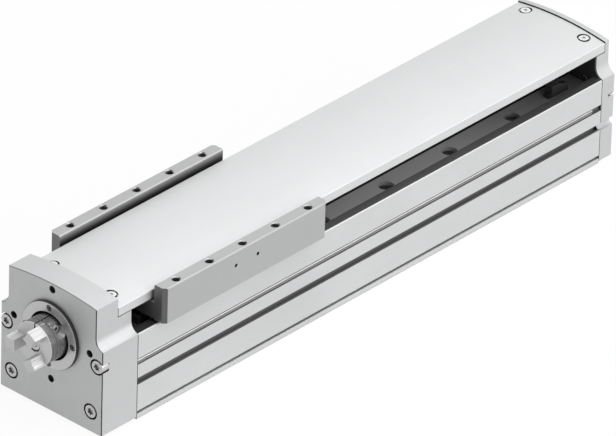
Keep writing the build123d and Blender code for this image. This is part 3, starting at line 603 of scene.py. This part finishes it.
def break_edges(obj: Object, width: float, smooth_below: float = 30.0) -> None:
    """Breaks the sharp edges of a mesh and evens out its shading.

    Args:
        obj: Object to change.
        width: Width of the broken edges in metres.
        smooth_below: Edges flatter than this angle in degrees are shaded smooth.
    """
    apply_modifier(
        obj, "BEVEL", width=width, segments=2, limit_method="ANGLE", angle_limit=SHARP_ANGLE
    )
    smooth(obj, smooth_below)
    apply_modifier(obj, "WEIGHTED_NORMAL", keep_sharp=True, weight=50)


def cylinder(
    radius: float, length: float, middle: Sequence[float], vertices: int, along_x: bool = False
) -> Object:
    """A rod with its place in its mesh.

    Args:
        radius: Radius of the rod.
        length: Its length.
        middle: Its middle.
        vertices: Corners round its rim.
        along_x: Whether it lies along X instead of Z.

    Returns:
        The rod.
    """
    deselect()
    turn = math.radians(90.0) if along_x else 0.0
    bpy.ops.mesh.primitive_cylinder_add(
        vertices=vertices, radius=radius, depth=length, location=middle, rotation=(0.0, turn, 0.0)
    )
    rod = bpy.context.object
    settle(rod)
    return rod


def joined(objects: Sequence[Object], name: str) -> Object:
    """Joins several objects into one.

    Args:
        objects: Objects to join.
        name: Name of the result.

    Returns:
        The joined object.
    """
    only(objects[0])
    for other in objects:
        other.select_set(True)
    if len(objects) > 1:
        bpy.ops.object.join()
    objects[0].name = name
    return objects[0]


def placed_copy(obj: Object, matrix: Matrix) -> Object:
    """A copy of an object with its own mesh, moved by a matrix.

    Args:
        obj: Object to copy.
        matrix: Where the copy goes.

    Returns:
        The copy, with its place in its mesh.
    """
    copy = obj.copy()
    copy.data = obj.data.copy()
    bpy.context.collection.objects.link(copy)
    copy.data.transform(matrix)
    return copy


def hand_over(obj: Object, body: Body, finish: Finish, nodes: Sequence[str]) -> None:
    """Dresses a finished piece, sets it on its body and hides the solids that it stands for.

    Args:
        obj: Finished piece.
        body: Body that it moves with.
        finish: Its finish.
        nodes: Solids that it replaces.
    """
    obj.data.materials.clear()
    obj.data.materials.append(finish.material())
    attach(obj, body.value)
    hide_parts(*nodes)
    log.info("%s: %d faces, rides on %s", obj.name, len(obj.data.polygons), body.value)


def fresh_copy(node: Object, name: str) -> Object:
    """A free copy of a solid with whole faces instead of triangles.

    Args:
        node: Solid to copy.
        name: Name of the copy.

    Returns:
        The copy.
    """
    piece = placed_copy(node, Matrix.Identity(4))
    piece.parent = None
    for key in [k for k in piece.keys() if k.startswith("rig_")]:
        del piece[key]
    piece.name = name
    edit_all(
        piece,
        lambda: bpy.ops.mesh.remove_doubles(threshold=0.002 * MM),
        lambda: bpy.ops.mesh.dissolve_limited(angle_limit=math.radians(1.0)),
    )
    return piece


def patch(piece: Object, patches: Sequence[tuple[Finish, FaceTest]]) -> None:
    """Puts other finishes on some faces of a piece.

    Args:
        piece: Piece that already has its main finish.
        patches: Finishes, each with a test of a face's centre and normal.
    """
    for number, (finish, test) in enumerate(patches, start=1):
        piece.data.materials.append(finish.material())
        for face in piece.data.polygons:
            if test(face.center, face.normal):
                face.material_index = number


# Tests of faces, by a face's centre and normal


def within(value: float, low: float, high: float) -> bool:
    """Whether a place in metres lies between two in millimetres."""
    return low * MM < value < high * MM


def close_to(across: float, up: float, spots: Sequence[tuple[float, float]], reach: float) -> bool:
    """Whether a point of a plane lies within reach of one of several spots."""
    return any(math.hypot(across - a, up - b) < reach for a, b in spots)


def from_axis(centre: Vector) -> float:
    """Distance from the spindle's axis."""
    return math.hypot(centre.y, centre.z - AXIS_HEIGHT)


def on_land(centre: Vector, normal: Vector) -> bool:
    """Faces on top of the profile's side walls and inside its channel."""
    wall_top = normal.z > 0.9 and centre.z > 83.0 * MM
    return wall_top or abs(centre.y) < 48.4 * MM and centre.z > 48.0 * MM


def on_cap_edge(centre: Vector, normal: Vector) -> bool:
    """Chamfered faces round the two ends of a cap."""
    return 0.6 < abs(normal.x) < 0.8


def on_arch_edge(centre: Vector, normal: Vector) -> bool:
    """Chamfered faces along a cap's arched top."""
    return on_cap_edge(centre, normal) and normal.z > 0.4


def in_slot(centre: Vector, normal: Vector) -> bool:
    """Walls of the T-slots and of the upper grooves."""
    side, height = abs(centre.y), centre.z
    t_slot = side < 57.5 * MM and within(height, 30.5, 44.0)
    groove = within(side, 54.9, 57.5) and within(height, 53.0, 59.5)
    return abs(normal.x) < 0.5 and (t_slot or groove)


def on_slot_floor(centre: Vector, normal: Vector) -> bool:
    """Lower walls of the T-slots and of the upper grooves."""
    return in_slot(centre, normal) and normal.z > 0.7


def in_clamp_groove(centre: Vector, normal: Vector) -> bool:
    """Sloping wall of the clamp grooves at the profile's foot."""
    return abs(centre.y) > 54.5 * MM and within(centre.z, 5.4, 8.4) and normal.z < -0.2


def on_lower_lip(centre: Vector, normal: Vector) -> bool:
    """Broken lower edges of the grooves in the profile's sides."""
    return abs(centre.y) > 57.3 * MM and 0.15 < normal.z < 0.95 and centre.z < 60.0 * MM


def on_bar_inside(centre: Vector, normal: Vector) -> bool:
    """Sides of the carriage's bars that face the cover."""
    return abs(centre.y) > 50.0 * MM and centre.y * normal.y < 0.0 and abs(normal.y) > 0.9


def on_bar_end(centre: Vector, normal: Vector) -> bool:
    """End faces of the carriage's bars."""
    return abs(normal.x) > 0.9


def on_bar_corner(centre: Vector, normal: Vector) -> bool:
    """Chamfered upright corners of the carriage's bars."""
    return 0.5 < abs(normal.x) < 0.85 and abs(centre.y) > 60.0 * MM


def in_tapped_hole(centre: Vector, normal: Vector) -> bool:
    """Walls of the tapped holes in the carriage's bars."""
    first, row, pitch = -167.8 * MM, 60.0 * MM, 40.0 * MM
    along = (centre.x - first + pitch / 2) % pitch - pitch / 2
    upright = within(centre.z, 99.0, 118.4) and abs(normal.z) < 0.3
    return upright and math.hypot(along, abs(centre.y) - row) < 3.6 * MM


def in_counterbore(centre: Vector, normal: Vector) -> bool:
    """Walls of the counterbores of the cap screws."""
    deep, side = 8.4 * MM, 57.6 * MM
    outer = centre.x < DRIVE_FACE + deep or centre.x > REAR_FACE - deep
    close = close_to(centre.y, centre.z, CAP_SCREW_SPOTS, 7.8 * MM)
    return close and outer and abs(normal.x) < 0.3 and abs(centre.y) < side


def in_motor_hole(centre: Vector, normal: Vector) -> bool:
    """Walls of the four motor holes."""
    circle = within(from_axis(centre), 39.5, 46.5)
    return circle and centre.x < -310.0 * MM and abs(normal.x) < 0.3


def faces_far_end(centre: Vector, normal: Vector) -> bool:
    """Faces of the drive cap that look along the channel."""
    return normal.x > 0.9 and centre.x > DRIVE_FACE + 20.0 * MM


def faces_drive_end(centre: Vector, normal: Vector) -> bool:
    """Faces of the far cap that look back along the channel."""
    return normal.x < -0.9


def in_cover_recess(centre: Vector, normal: Vector) -> bool:
    """Walls of the screw recesses in the cover."""
    close = close_to(centre.x, centre.y, COVER_SCREW_SPOTS, 6.3 * MM)
    return close and centre.z > 112.4 * MM and abs(normal.z) < 0.4


def on_ring_rim(centre: Vector, normal: Vector) -> bool:
    """Outer rim of the retainer ring, with its broken edge."""
    return normal.x > -0.95 and from_axis(centre) > 30.6 * MM


def in_ring_bore(centre: Vector, normal: Vector) -> bool:
    """Bore of the retainer ring and the flange at its bottom."""
    return from_axis(centre) < 22.3 * MM and centre.x > DRIVE_FACE - 3.3 * MM


def in_ring_counterbore(centre: Vector, normal: Vector) -> bool:
    """Walls of the small counterbores in the retainer ring."""
    return close_to(centre.y, centre.z, RING_SCREW_SPOTS, 3.3 * MM) and abs(normal.x) < 0.3


def on_hub_side(centre: Vector, normal: Vector) -> bool:
    """Turned side of the hub, behind its claws."""
    behind = centre.x > HUB_FACE - 0.2 * MM
    return behind and abs(normal.x) < 0.4 and from_axis(centre) > 17.5 * MM


def on_slit(centre: Vector, normal: Vector) -> bool:
    """Walls of the hub's clamp slit."""
    above = centre.z > AXIS_HEIGHT + 6.0 * MM
    return above and abs(normal.y) > 0.9 and abs(centre.y) < 1.6 * MM


def in_centre_recess(centre: Vector, normal: Vector) -> bool:
    """Wall of the hub's recess round its centre screw."""
    front = centre.x < DRIVE_FACE - 11.0 * MM
    return front and abs(normal.x) < 0.4 and from_axis(centre) < 8.6 * MM


# Pieces


@dataclass
class Softened:
    """A solid as it comes from the machine: the same form with its edges broken.

    Attributes:
        node: Solid that it stands for.
        body: Body that it moves with.
        finish: Its finish.
        slot: Material slot of the record; not used.
        edge: Width of the broken edges in metres.
        patches: Other finishes, each with a test of the faces that it goes on.
    """

    node: str
    body: Body
    finish: Finish
    slot: str
    edge: float = 0.2 * MM
    patches: Sequence[tuple[Finish, FaceTest]] = ()

    def build(self, frame: dict) -> None:
        """Copies the solid, merges its faces and breaks its edges.
        """
        piece = fresh_copy(frame["nodes"][self.node], f"{self.node}_finished")
        break_edges(piece, self.edge)
        hand_over(piece, self.body, self.finish, [self.node])
        patch(piece, self.patches)


@dataclass
class PlainNodes:
    """Solids that keep their own mesh and only get a finish.

    Attributes:
        finishes: Finish of each solid.
    """

    finishes: dict[str, Finish]

    def build(self, frame: dict) -> None:
        """Dresses the solids.
        """
        for node, finish in self.finishes.items():
            obj = frame["nodes"][node]
            for place in obj.material_slots:
                place.material = finish.material()
            log.info("%s keeps its mesh, finish %s", node, finish.name)


class Side(Enum):
    """Which way a screw's head faces, as the turn that takes +Z there."""

    DRIVE_END = Matrix.Rotation(math.radians(-90.0), 4, "Y")
    FAR_END = Matrix.Rotation(math.radians(90.0), 4, "Y")
    TOP = Matrix.Identity(4)


@dataclass
class LobedScrews:
    """Cap screws with a six-lobed socket.

    Attributes:
        node: Solid that they stand for.
        body: Body that they move with.
        side: Which way the heads face.
        places: Middle of each head's top, in metres.
        head_radius: Radius of the head.
        head_height: Height of the head.
        shank_radius: Radius of the shank.
        shank_length: Length of the shank.
        socket_radius: Largest radius of the socket.
        socket_depth: Depth of the socket.
        finish: Look of the heads.
        lobe: How far the socket's outline goes in and out, as a share of its radius.
        turn: Turn in radians from one screw to the next.
        open_side: Heads beyond this distance from the middle plane show their flank in the screw's
            own finish, without painted shade.
    """

    node: str
    body: Body
    side: Side
    places: Sequence[tuple[float, float, float]]
    head_radius: float
    head_height: float
    shank_radius: float
    shank_length: float
    socket_radius: float
    socket_depth: float
    finish: Finish = SCREW
    lobe: float = 0.14
    turn: float = 0.35
    open_side: float = 55.5 * MM

    def socket(self) -> Object:
        """The six-lobed space that the key fills."""
        spare = 1.0 * MM
        length = self.socket_depth + spare
        cutter = cylinder(self.socket_radius, length, (0.0, 0.0, spare - length / 2), 72)
        for vertex in cutter.data.vertices:
            turn = math.atan2(vertex.co.y, vertex.co.x)
            if Vector(vertex.co[:2]).length > 0.1 * MM:
                share = 1.0 - self.lobe + self.lobe * math.cos(6.0 * turn)
                vertex.co.x *= share
                vertex.co.y *= share
        return cutter

    def one(self) -> Object:
        """Models one screw with the middle of its head's top at the origin."""
        height = self.head_height
        head = cylinder(self.head_radius, height, (0.0, 0.0, -height / 2), 64)
        corners = head.data.vertices

        def on_top(edge: bpy.types.MeshEdge) -> bool:
            return all(corners[v].co.z > -0.01 * MM for v in edge.vertices)

        bevel(head, "EDGE", on_top, min(0.5 * MM, height / 4), 3)
        apply_boolean(head, self.socket(), "DIFFERENCE")
        middle = (0.0, 0.0, -height - self.shank_length / 2)
        shank = cylinder(self.shank_radius, self.shank_length, middle, 32)
        ends = shank.data.vertices

        def at_end(edge: bpy.types.MeshEdge) -> bool:
            return all(ends[v].co.z < -height - 0.1 * MM for v in edge.vertices)

        bevel(shank, "EDGE", at_end, 0.4 * MM, 1)
        return joined([head, shank], f"{self.node}_one")

    def on_flank(self, centre: Vector, normal: Vector) -> bool:
        """Faces round a head, which get painted shade, unless it shows in a notch at the part's
        side.
        """
        along = (self.side.value @ Vector((0.0, 0.0, 1.0, 0.0))).xyz
        reach = min(along.cross(centre - Vector(place)).length for place in self.places)
        covered = abs(centre.y) <= self.open_side
        return abs(normal.dot(along)) < 0.97 and reach > 0.7 * self.head_radius and covered

    def build(self) -> None:
        """Copies the screw to each place and hands the group over."""
        one = self.one()
        copies = []
        for i, place in enumerate(self.places):
            turn = Matrix.Rotation(self.turn * i, 4, "Z")
            copies.append(placed_copy(one, Matrix.Translation(place) @ self.side.value @ turn))
        bpy.data.objects.remove(one)
        group = joined(copies, f"{self.node}_lobed")
        smooth(group)
        hand_over(group, self.body, self.finish, [self.node])
        # Painted shade on the head flanks inside their counterbores
        patch(group, [(SCREW_SHADE, self.on_flank)])


@dataclass
class SpindleThread:
    """Ball screw spindle with its rolled ball groove and turned journals.

    Attributes:
        start: Where the thread starts, in metres along X.
        end: Where it ends.
        radius: Outer radius of the thread.
        lead: Travel per turn.
        starts: Number of grooves side by side.
        groove_radius: Radius of the ball groove.
        groove_depth: Depth of the groove.
        groove_points: Points of the groove's outline on each side of its middle.
        steps: Steps round one turn.
        journals: Start, end and radius of each journal.
    """

    start: float = -294.7 * MM
    end: float = 291.0 * MM
    radius: float = 10.0 * MM
    lead: float = 20.0 * MM
    starts: int = 2
    groove_radius: float = 2.0 * MM
    groove_depth: float = 1.4 * MM
    groove_points: int = 4
    steps: int = 32
    journals: Sequence[tuple[float, float, float]] = (
        (-343.9 * MM, -326.9 * MM, 7.0 * MM),
        (-326.9 * MM, -294.7 * MM, 8.5 * MM),
        (291.0 * MM, 301.8 * MM, 6.0 * MM),
    )

    def profile(self) -> Object:
        """One lead of the thread's outline, as a line beside the axis."""
        pitch = self.lead / self.starts
        sunk = self.groove_radius - self.groove_depth
        half = math.sqrt(self.groove_radius**2 - sunk**2)
        points = []
        for i in range(self.starts):
            middle = (i + 0.5) * pitch
            points.append((i * pitch, self.radius))
            for k in range(-self.groove_points, self.groove_points + 1):
                x = half * k / self.groove_points
                depth = math.sqrt(max(self.groove_radius**2 - x**2, 0.0)) - sunk
                points.append((middle + x, self.radius - depth))
        points.append((self.lead, self.radius))
        mesh = bpy.data.meshes.new("thread_outline")
        corners = [(x, 0.0, r) for x, r in points]
        mesh.from_pydata(corners, [(i, i + 1) for i in range(len(corners) - 1)], [])
        line = bpy.data.objects.new("thread_outline", mesh)
        bpy.context.collection.objects.link(line)
        return line

    def thread(self) -> Object:
        """The threaded rod, cut square at both ends and closed there."""
        turns = math.ceil((self.end - self.start) / self.lead) + 2
        rod = self.profile()
        apply_modifier(
            rod, "SCREW", axis="X", angle=math.radians(360.0), screw_offset=self.lead,
            iterations=turns, steps=self.steps, render_steps=self.steps,
            use_merge_vertices=True, merge_threshold=0.01 * MM,
        )
        shift = (self.start - 1.5 * self.lead, 0.0, AXIS_HEIGHT)
        rod.data.transform(Matrix.Translation(shift))
        edit_all(rod, lambda: bpy.ops.mesh.remove_doubles(threshold=0.01 * MM))
        for place, inner in ((self.start, True), (self.end, False)):
            cut = dict(
                plane_co=(place, 0.0, AXIS_HEIGHT),
                plane_no=(1.0, 0.0, 0.0),
                use_fill=True,
                clear_inner=inner,
                clear_outer=not inner,
            )
            edit_all(rod, lambda: bpy.ops.mesh.bisect(**cut))
        return rod

    def journal(self, start: float, end: float, radius: float) -> Object:
        """A turned journal with broken edges.

        Args:
            start: Where it starts along X.
            end: Where it ends.
            radius: Its radius.

        Returns:
            The journal.
        """
        middle = ((start + end) / 2, 0.0, AXIS_HEIGHT)
        rod = cylinder(radius, end - start, middle, 64, along_x=True)
        bevel(rod, "FACE", lambda face: abs(face.normal.x) > 0.9, 0.4 * MM, 2)
        return rod

    def build(self) -> None:
        """Joins thread and journals and hands the spindle over."""
        parts = [self.thread()] + [self.journal(*journal) for journal in self.journals]
        spindle = joined(parts, "ball_screw_spindle_threaded")
        edit_all(spindle, lambda: bpy.ops.mesh.normals_make_consistent(inside=False))
        smooth(spindle, 40.0)
        hand_over(spindle, Body.SPINDLE, SPINDLE, ["ball_screw_spindle"])


@dataclass
class ClawHub:
    """Coupling hub with its three claws, whose tips have only a narrow broken edge.

    Attributes:
        claws: Number of claws.
        length: Length of a claw.
        root: How far a claw reaches into the hub.
        half_width: Half of a claw's width.
        inner: Distance from the axis to a claw's inner face.
        outer: Radius of a claw's round back.
        relief: Radius of the hollow in each flank.
        relief_depth: Depth of that hollow.
        edge: Width of the broken edges.
    """

    claws: int = 3
    length: float = 13.6 * MM
    root: float = 0.6 * MM
    half_width: float = 5.35 * MM
    inner: float = 9.5 * MM
    outer: float = 19.9 * MM
    relief: float = 13.0 * MM
    relief_depth: float = 0.75 * MM
    edge: float = 0.12 * MM

    def claw(self) -> Object:
        """The claw on the +Y side of the axis."""
        spare = 1.0 * MM
        bpy.ops.mesh.primitive_cube_add(
            size=1.0,
            location=(
                HUB_FACE - (self.length - self.root) / 2,
                (self.inner + self.outer + spare) / 2,
                AXIS_HEIGHT,
            ),
            scale=(self.length + self.root, self.outer + spare - self.inner, 2.0 * self.half_width),
        )
        claw = bpy.context.object
        settle(claw)
        middle = (self.inner + self.outer) / 2
        half_way, long = HUB_FACE - self.length / 2, 3.0 * self.length
        back = cylinder(self.outer, long, (half_way, 0.0, AXIS_HEIGHT), 128, along_x=True)
        apply_boolean(claw, back, "INTERSECT")
        for sign in (-1, 1):
            height = AXIS_HEIGHT + sign * (self.half_width + self.relief - self.relief_depth)
            cutter = cylinder(self.relief, long, (half_way, middle, height), 128, along_x=True)
            cutter.data.transform(Matrix.Translation((-self.length, 0.0, 0.0)))
            apply_boolean(claw, cutter, "DIFFERENCE")
        return claw

    def build(self, frame: dict) -> None:
        """Adds the claws to a copy of the solid and hands it over.
        """
        hub = fresh_copy(frame["nodes"]["coupling_hub"], "coupling_hub_finished")
        first = self.claw()
        axis = Matrix.Translation((0.0, 0.0, AXIS_HEIGHT))
        for i in range(self.claws):
            turn = Matrix.Rotation(math.radians(360.0 / self.claws * i), 4, "X")
            apply_boolean(hub, placed_copy(first, axis @ turn @ axis.inverted()), "UNION")
        bpy.data.objects.remove(first)
        break_edges(hub, self.edge, 25.0)
        hand_over(hub, Body.SPINDLE, HUB, ["coupling_hub"])
        # Painted dark reflection on the turned side, painted shade in the slit and round the centre
        # screw
        patch(hub, [(HUB_SIDE_REFLECTION, on_hub_side), (EDGE, on_slit), (EDGE, in_centre_recess)])


SOFTENED = [
    Softened(
        "base_profile", Body.BASE, EXTRUSION, "anodised", 0.25 * MM,
        [
            # Painted shade on the walls' tops, in the channel and on the slots' back walls; painted
            # light on the slot floors and foot grooves; painted highlight on the groove lips
            (CHANNEL_SHADE, on_land),
            (SLOT_WALL_SHADE, in_slot),
            (SLOT_FLOOR_LIGHT, on_slot_floor),
            (FOOT_GROOVE_LIGHT, in_clamp_groove),
            (LIP_HIGHLIGHT, on_lower_lip),
        ],
    ),
    Softened("slot_strips", Body.BASE, STRIP, "plastic", 0.1 * MM),
    Softened("guide_rail_left", Body.BASE, GROUND, "steel"),
    Softened("guide_rail_right", Body.BASE, GROUND, "steel"),
    Softened(
        "drive_end_cap", Body.BASE, MILLED, "aluminium", 0.25 * MM,
        [
            # Painted shade on the chamfers, in the motor holes and counterbores and on the inner
            # faces
            (EDGE, on_cap_edge),
            (ARCH_EDGE_SHADE, on_arch_edge),
            (HOLE_SHADE, in_motor_hole),
            (EDGE, in_counterbore),
            (CHANNEL_SHADE, faces_far_end),
        ],
    ),
    Softened(
        "rear_end_cap", Body.BASE, MILLED, "aluminium", 0.25 * MM,
        # Painted shade on the chamfers, in the counterbores and on the inner face
        [(EDGE, on_cap_edge), (EDGE, in_counterbore), (CHANNEL_SHADE, faces_drive_end)],
    ),
    # Painted shade in the screw recesses
    Softened("cover_plate", Body.BASE, COVER, "anodised", 0.25 * MM, [(EDGE, in_cover_recess)]),
    Softened(
        "bearing_retainer", Body.BASE, RING, "steel", 0.2 * MM,
        # Painted shade on the rim, in the bore and in the small counterbores
        [(RING_RIM_SHADE, on_ring_rim), (EDGE, in_ring_bore), (EDGE, in_ring_counterbore)],
    ),
    # Painted shade: these screws sit deep in the ring's counterbores
    Softened("retainer_screws", Body.BASE, HOLE_SHADE, "steel", 0.1 * MM),
    Softened("end_stops_front", Body.BASE, DARK_STOP, "plastic", 0.3 * MM),
    Softened("end_stops_rear", Body.BASE, DARK_STOP, "plastic", 0.3 * MM),
    Softened("stop_pads_front", Body.BASE, RUBBER, "rubber", 0.3 * MM),
    Softened("stop_pads_rear", Body.BASE, RUBBER, "rubber", 0.3 * MM),
    Softened(
        "carriage", Body.CARRIAGE, CARRIAGE, "anodised", 0.25 * MM,
        [
            # Painted shade in the tapped holes, on the bars' inner sides, on their ends and on
            # their chamfered corners
            (HOLE_SHADE, in_tapped_hole),
            (BAR_INSIDE_SHADE, on_bar_inside),
            (BAR_END_SHADE, on_bar_end),
            (BAR_CORNER_SHADE, on_bar_corner),
        ],
    ),
    Softened("hub_clamp_screw", Body.SPINDLE, SCREW, "steel", 0.15 * MM),
]

# Both caps' screws, with narrower heads and shallower sockets than the solids
CAP_SCREW = dict(
    head_radius=6.2 * MM, head_height=8.0 * MM, shank_radius=4.0 * MM,
    socket_radius=3.5 * MM, socket_depth=2.0 * MM,
)

SCREWS = [
    LobedScrews(
        "drive_cap_screws", Body.BASE, Side.DRIVE_END,
        [(DRIVE_FACE, y, z) for y, z in CAP_SCREW_SPOTS],
        shank_length=49.7 * MM, **CAP_SCREW,
    ),
    LobedScrews(
        "rear_cap_screws", Body.BASE, Side.FAR_END,
        [(REAR_FACE, y, z) for y, z in CAP_SCREW_SPOTS],
        shank_length=23.8 * MM, **CAP_SCREW,
    ),
    LobedScrews(
        "hub_centre_screw", Body.SPINDLE, Side.DRIVE_END,
        [(DRIVE_FACE - 20.2 * MM, 0.0, AXIS_HEIGHT)],
        head_radius=6.4 * MM, head_height=8.0 * MM, shank_radius=3.3 * MM,
        shank_length=14.0 * MM, socket_radius=3.4 * MM, socket_depth=3.5 * MM,
    ),
    LobedScrews(
        "cover_screws", Body.BASE, Side.TOP,
        [(x, y, 114.5 * MM) for x, y in COVER_SCREW_SPOTS],
        head_radius=4.8 * MM, head_height=1.6 * MM, shank_radius=2.5 * MM,
        shank_length=12.0 * MM, socket_radius=1.9 * MM, socket_depth=1.0 * MM,
        finish=BRIGHT_SCREW,
    ),
]

PLAIN = PlainNodes(
    {
        # Painted shade: the screws down in the channel are near-black
        "rail_screws": SCREW_SHADE,
        "stop_screws": SCREW_SHADE,
        "fixed_bearing_outer": RING,
        "fixed_bearing_inner": RING,
        "rear_bearing_outer": RING,
        "rear_bearing_inner": RING,
        "bearing_lock_nut": RING,
        "runner_block_front": GROUND,
        "runner_block_rear": GROUND,
        "runner_end_caps": PLASTIC,
        "runner_screws": SCREW,
        "ball_nut": GROUND,
        "nut_screws": SCREW,
        "nut_carrier": MILLED,
        "carrier_screws": SCREW,
    }
)


# Light, floor and camera


def seen_rays(tree: bpy.types.NodeTree) -> Socket:
    """Tells the rays that show a thing to the camera from those that only light others.

    Args:
        tree: Tree that gets the nodes.

    Returns:
        A socket with 1 for camera, glossy and transmission rays.
    """
    rays = tree.nodes.new("ShaderNodeLightPath")
    seen = tree.nodes.new("ShaderNodeMath")
    through = tree.nodes.new("ShaderNodeMath")
    for node in (seen, through):
        node.operation = "MAXIMUM"
    tree.links.new(rays.outputs["Is Camera Ray"], seen.inputs[0])
    tree.links.new(rays.outputs["Is Glossy Ray"], seen.inputs[1])
    tree.links.new(seen.outputs[0], through.inputs[0])
    tree.links.new(rays.outputs["Is Transmission Ray"], through.inputs[1])
    return through.outputs[0]


@dataclass
class Studio:
    """Pale floor, soft light and the camera.

    Attributes:
        camera_place: Where the camera stands.
        azimuth: Turn of the view about Z in degrees.
        elevation: Height of the view above the horizon in degrees.
        roll: Turn of the picture in degrees.
        lens: Focal length in millimetres.
        sensor: Width of the sensor in millimetres.
        world_level: Strength of the world's light.
        floor_size: Edge length of the floor in metres.
        floor_glow: Share of plain white in the floor as the camera sees it.
        lamps: Name, place, target, edge length in metres and power in watts of each lamp.
    """

    camera_place: tuple[float, float, float] = (-5.58315, -4.94610, 4.58368)
    azimuth: float = -48.363
    elevation: float = 31.322
    roll: float = 1.727
    lens: float = 605.4
    sensor: float = 36.0
    world_level: float = 0.25
    floor_size: float = 30.0
    floor_glow: float = 0.93
    lamps: Sequence[tuple] = (
        ("top_softbox", (0.1, -0.4, 2.2), (0.0, 0.0, 0.05), 2.4, 37.0),
        ("side_softbox", (0.2, -2.4, 1.1), (0.0, 0.0, 0.05), 2.0, 36.0),
        ("front_softbox", (-2.4, -0.2, 0.9), (-0.2, 0.0, 0.05), 1.6, 1.5),
    )

    def build(self) -> None:
        """Makes camera, floor, world and lamps."""
        self.make_camera()
        self.make_floor()
        self.make_world()
        for name, place, target, size, power in self.lamps:
            self.make_lamp(name, Vector(place), Vector(target), size, power)
        bpy.context.scene.view_settings.view_transform = "Standard"

    def make_camera(self) -> None:
        """Sets the camera at the photograph's angle."""
        turn, rise, roll = (math.radians(v) for v in (self.azimuth, self.elevation, self.roll))
        right = Vector((math.cos(turn), math.sin(turn), 0.0))
        level = math.cos(rise)
        back = Vector((math.sin(turn) * level, -math.cos(turn) * level, math.sin(rise)))
        up = back.cross(right)
        leaned = math.cos(roll) * right + math.sin(roll) * up
        upright = math.cos(roll) * up - math.sin(roll) * right
        data = bpy.data.cameras.new("camera")
        data.sensor_width = self.sensor
        data.lens = self.lens
        data.clip_end = 60.0
        camera = bpy.data.objects.new("camera", data)
        axes = Matrix((leaned, upright, back)).transposed().to_4x4()
        camera.matrix_world = Matrix.Translation(self.camera_place) @ axes
        bpy.context.collection.objects.link(camera)
        bpy.context.scene.camera = camera

    def make_floor(self) -> None:
        """Makes a pale floor that shows almost white and keeps the shadow."""
        deselect()
        bpy.ops.mesh.primitive_plane_add(size=self.floor_size, location=(0.0, 0.0, 0.0))
        floor = bpy.context.object
        floor.name = "floor"
        sheet = ShaderSheet("pale_floor")
        sheet.shader.inputs["Roughness"].default_value = 0.9
        glow = sheet.add("ShaderNodeEmission")
        glow.inputs["Strength"].default_value = 1.0
        share = sheet.add("ShaderNodeMath", operation="MULTIPLY")
        share.inputs[1].default_value = self.floor_glow
        mix = sheet.add("ShaderNodeMixShader")
        seen = seen_rays(sheet.tree)
        sheet.link(seen, share.inputs[0])
        sheet.link(sheet.blend(seen, grey(0.5), WHITE), sheet.shader.inputs["Base Color"])
        sheet.link(share.outputs[0], mix.inputs[0])
        sheet.link(sheet.shader.outputs[0], mix.inputs[1])
        sheet.link(glow.outputs[0], mix.inputs[2])
        sheet.link(mix.outputs[0], sheet.tree.nodes["Material Output"].inputs["Surface"])
        floor.data.materials.append(sheet.material)

    def make_world(self) -> None:
        """Makes a white surround that lights at a plain level."""
        world = bpy.data.worlds.new("studio")
        world.use_nodes = True
        bpy.context.scene.world = world
        tree = world.node_tree
        tree.nodes.clear()
        kinds = ("Background", "Background", "MixShader", "OutputWorld")
        light, white, mix, output = (tree.nodes.new(f"ShaderNode{kind}") for kind in kinds)
        light.inputs["Strength"].default_value = self.world_level
        white.inputs["Strength"].default_value = 1.0
        for node in (light, white):
            node.inputs["Color"].default_value = (*WHITE, 1.0)
        tree.links.new(seen_rays(tree), mix.inputs[0])
        tree.links.new(light.outputs[0], mix.inputs[1])
        tree.links.new(white.outputs[0], mix.inputs[2])
        tree.links.new(mix.outputs[0], output.inputs["Surface"])

    def make_lamp(
        self, name: str, place: Vector, target: Vector, size: float, power: float
    ) -> None:
        """Makes one square soft lamp.

        Args:
            name: Name of the lamp.
            place: Where it hangs.
            target: Where it points.
            size: Edge length in metres.
            power: Power in watts.
        """
        data = bpy.data.lights.new(name, "AREA")
        data.size = size
        data.energy = power
        lamp = bpy.data.objects.new(name, data)
        lamp.visible_camera = False
        turn = (target - place).to_track_quat("-Z", "Y").to_matrix().to_4x4()
        lamp.matrix_world = Matrix.Translation(place) @ turn
        bpy.context.collection.objects.link(lamp)


def main() -> None:
    """Builds the studio and every piece in order."""
    logging.basicConfig(level=logging.INFO, format="%(name)s: %(message)s")
    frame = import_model()
    Studio().build()
    for part in SOFTENED:
        part.build(frame)
    for screws in SCREWS:
        screws.build()
    ClawHub().build(frame)
    SpindleThread().build()
    PLAIN.build(frame)


if __name__ == "__main__":
    main()
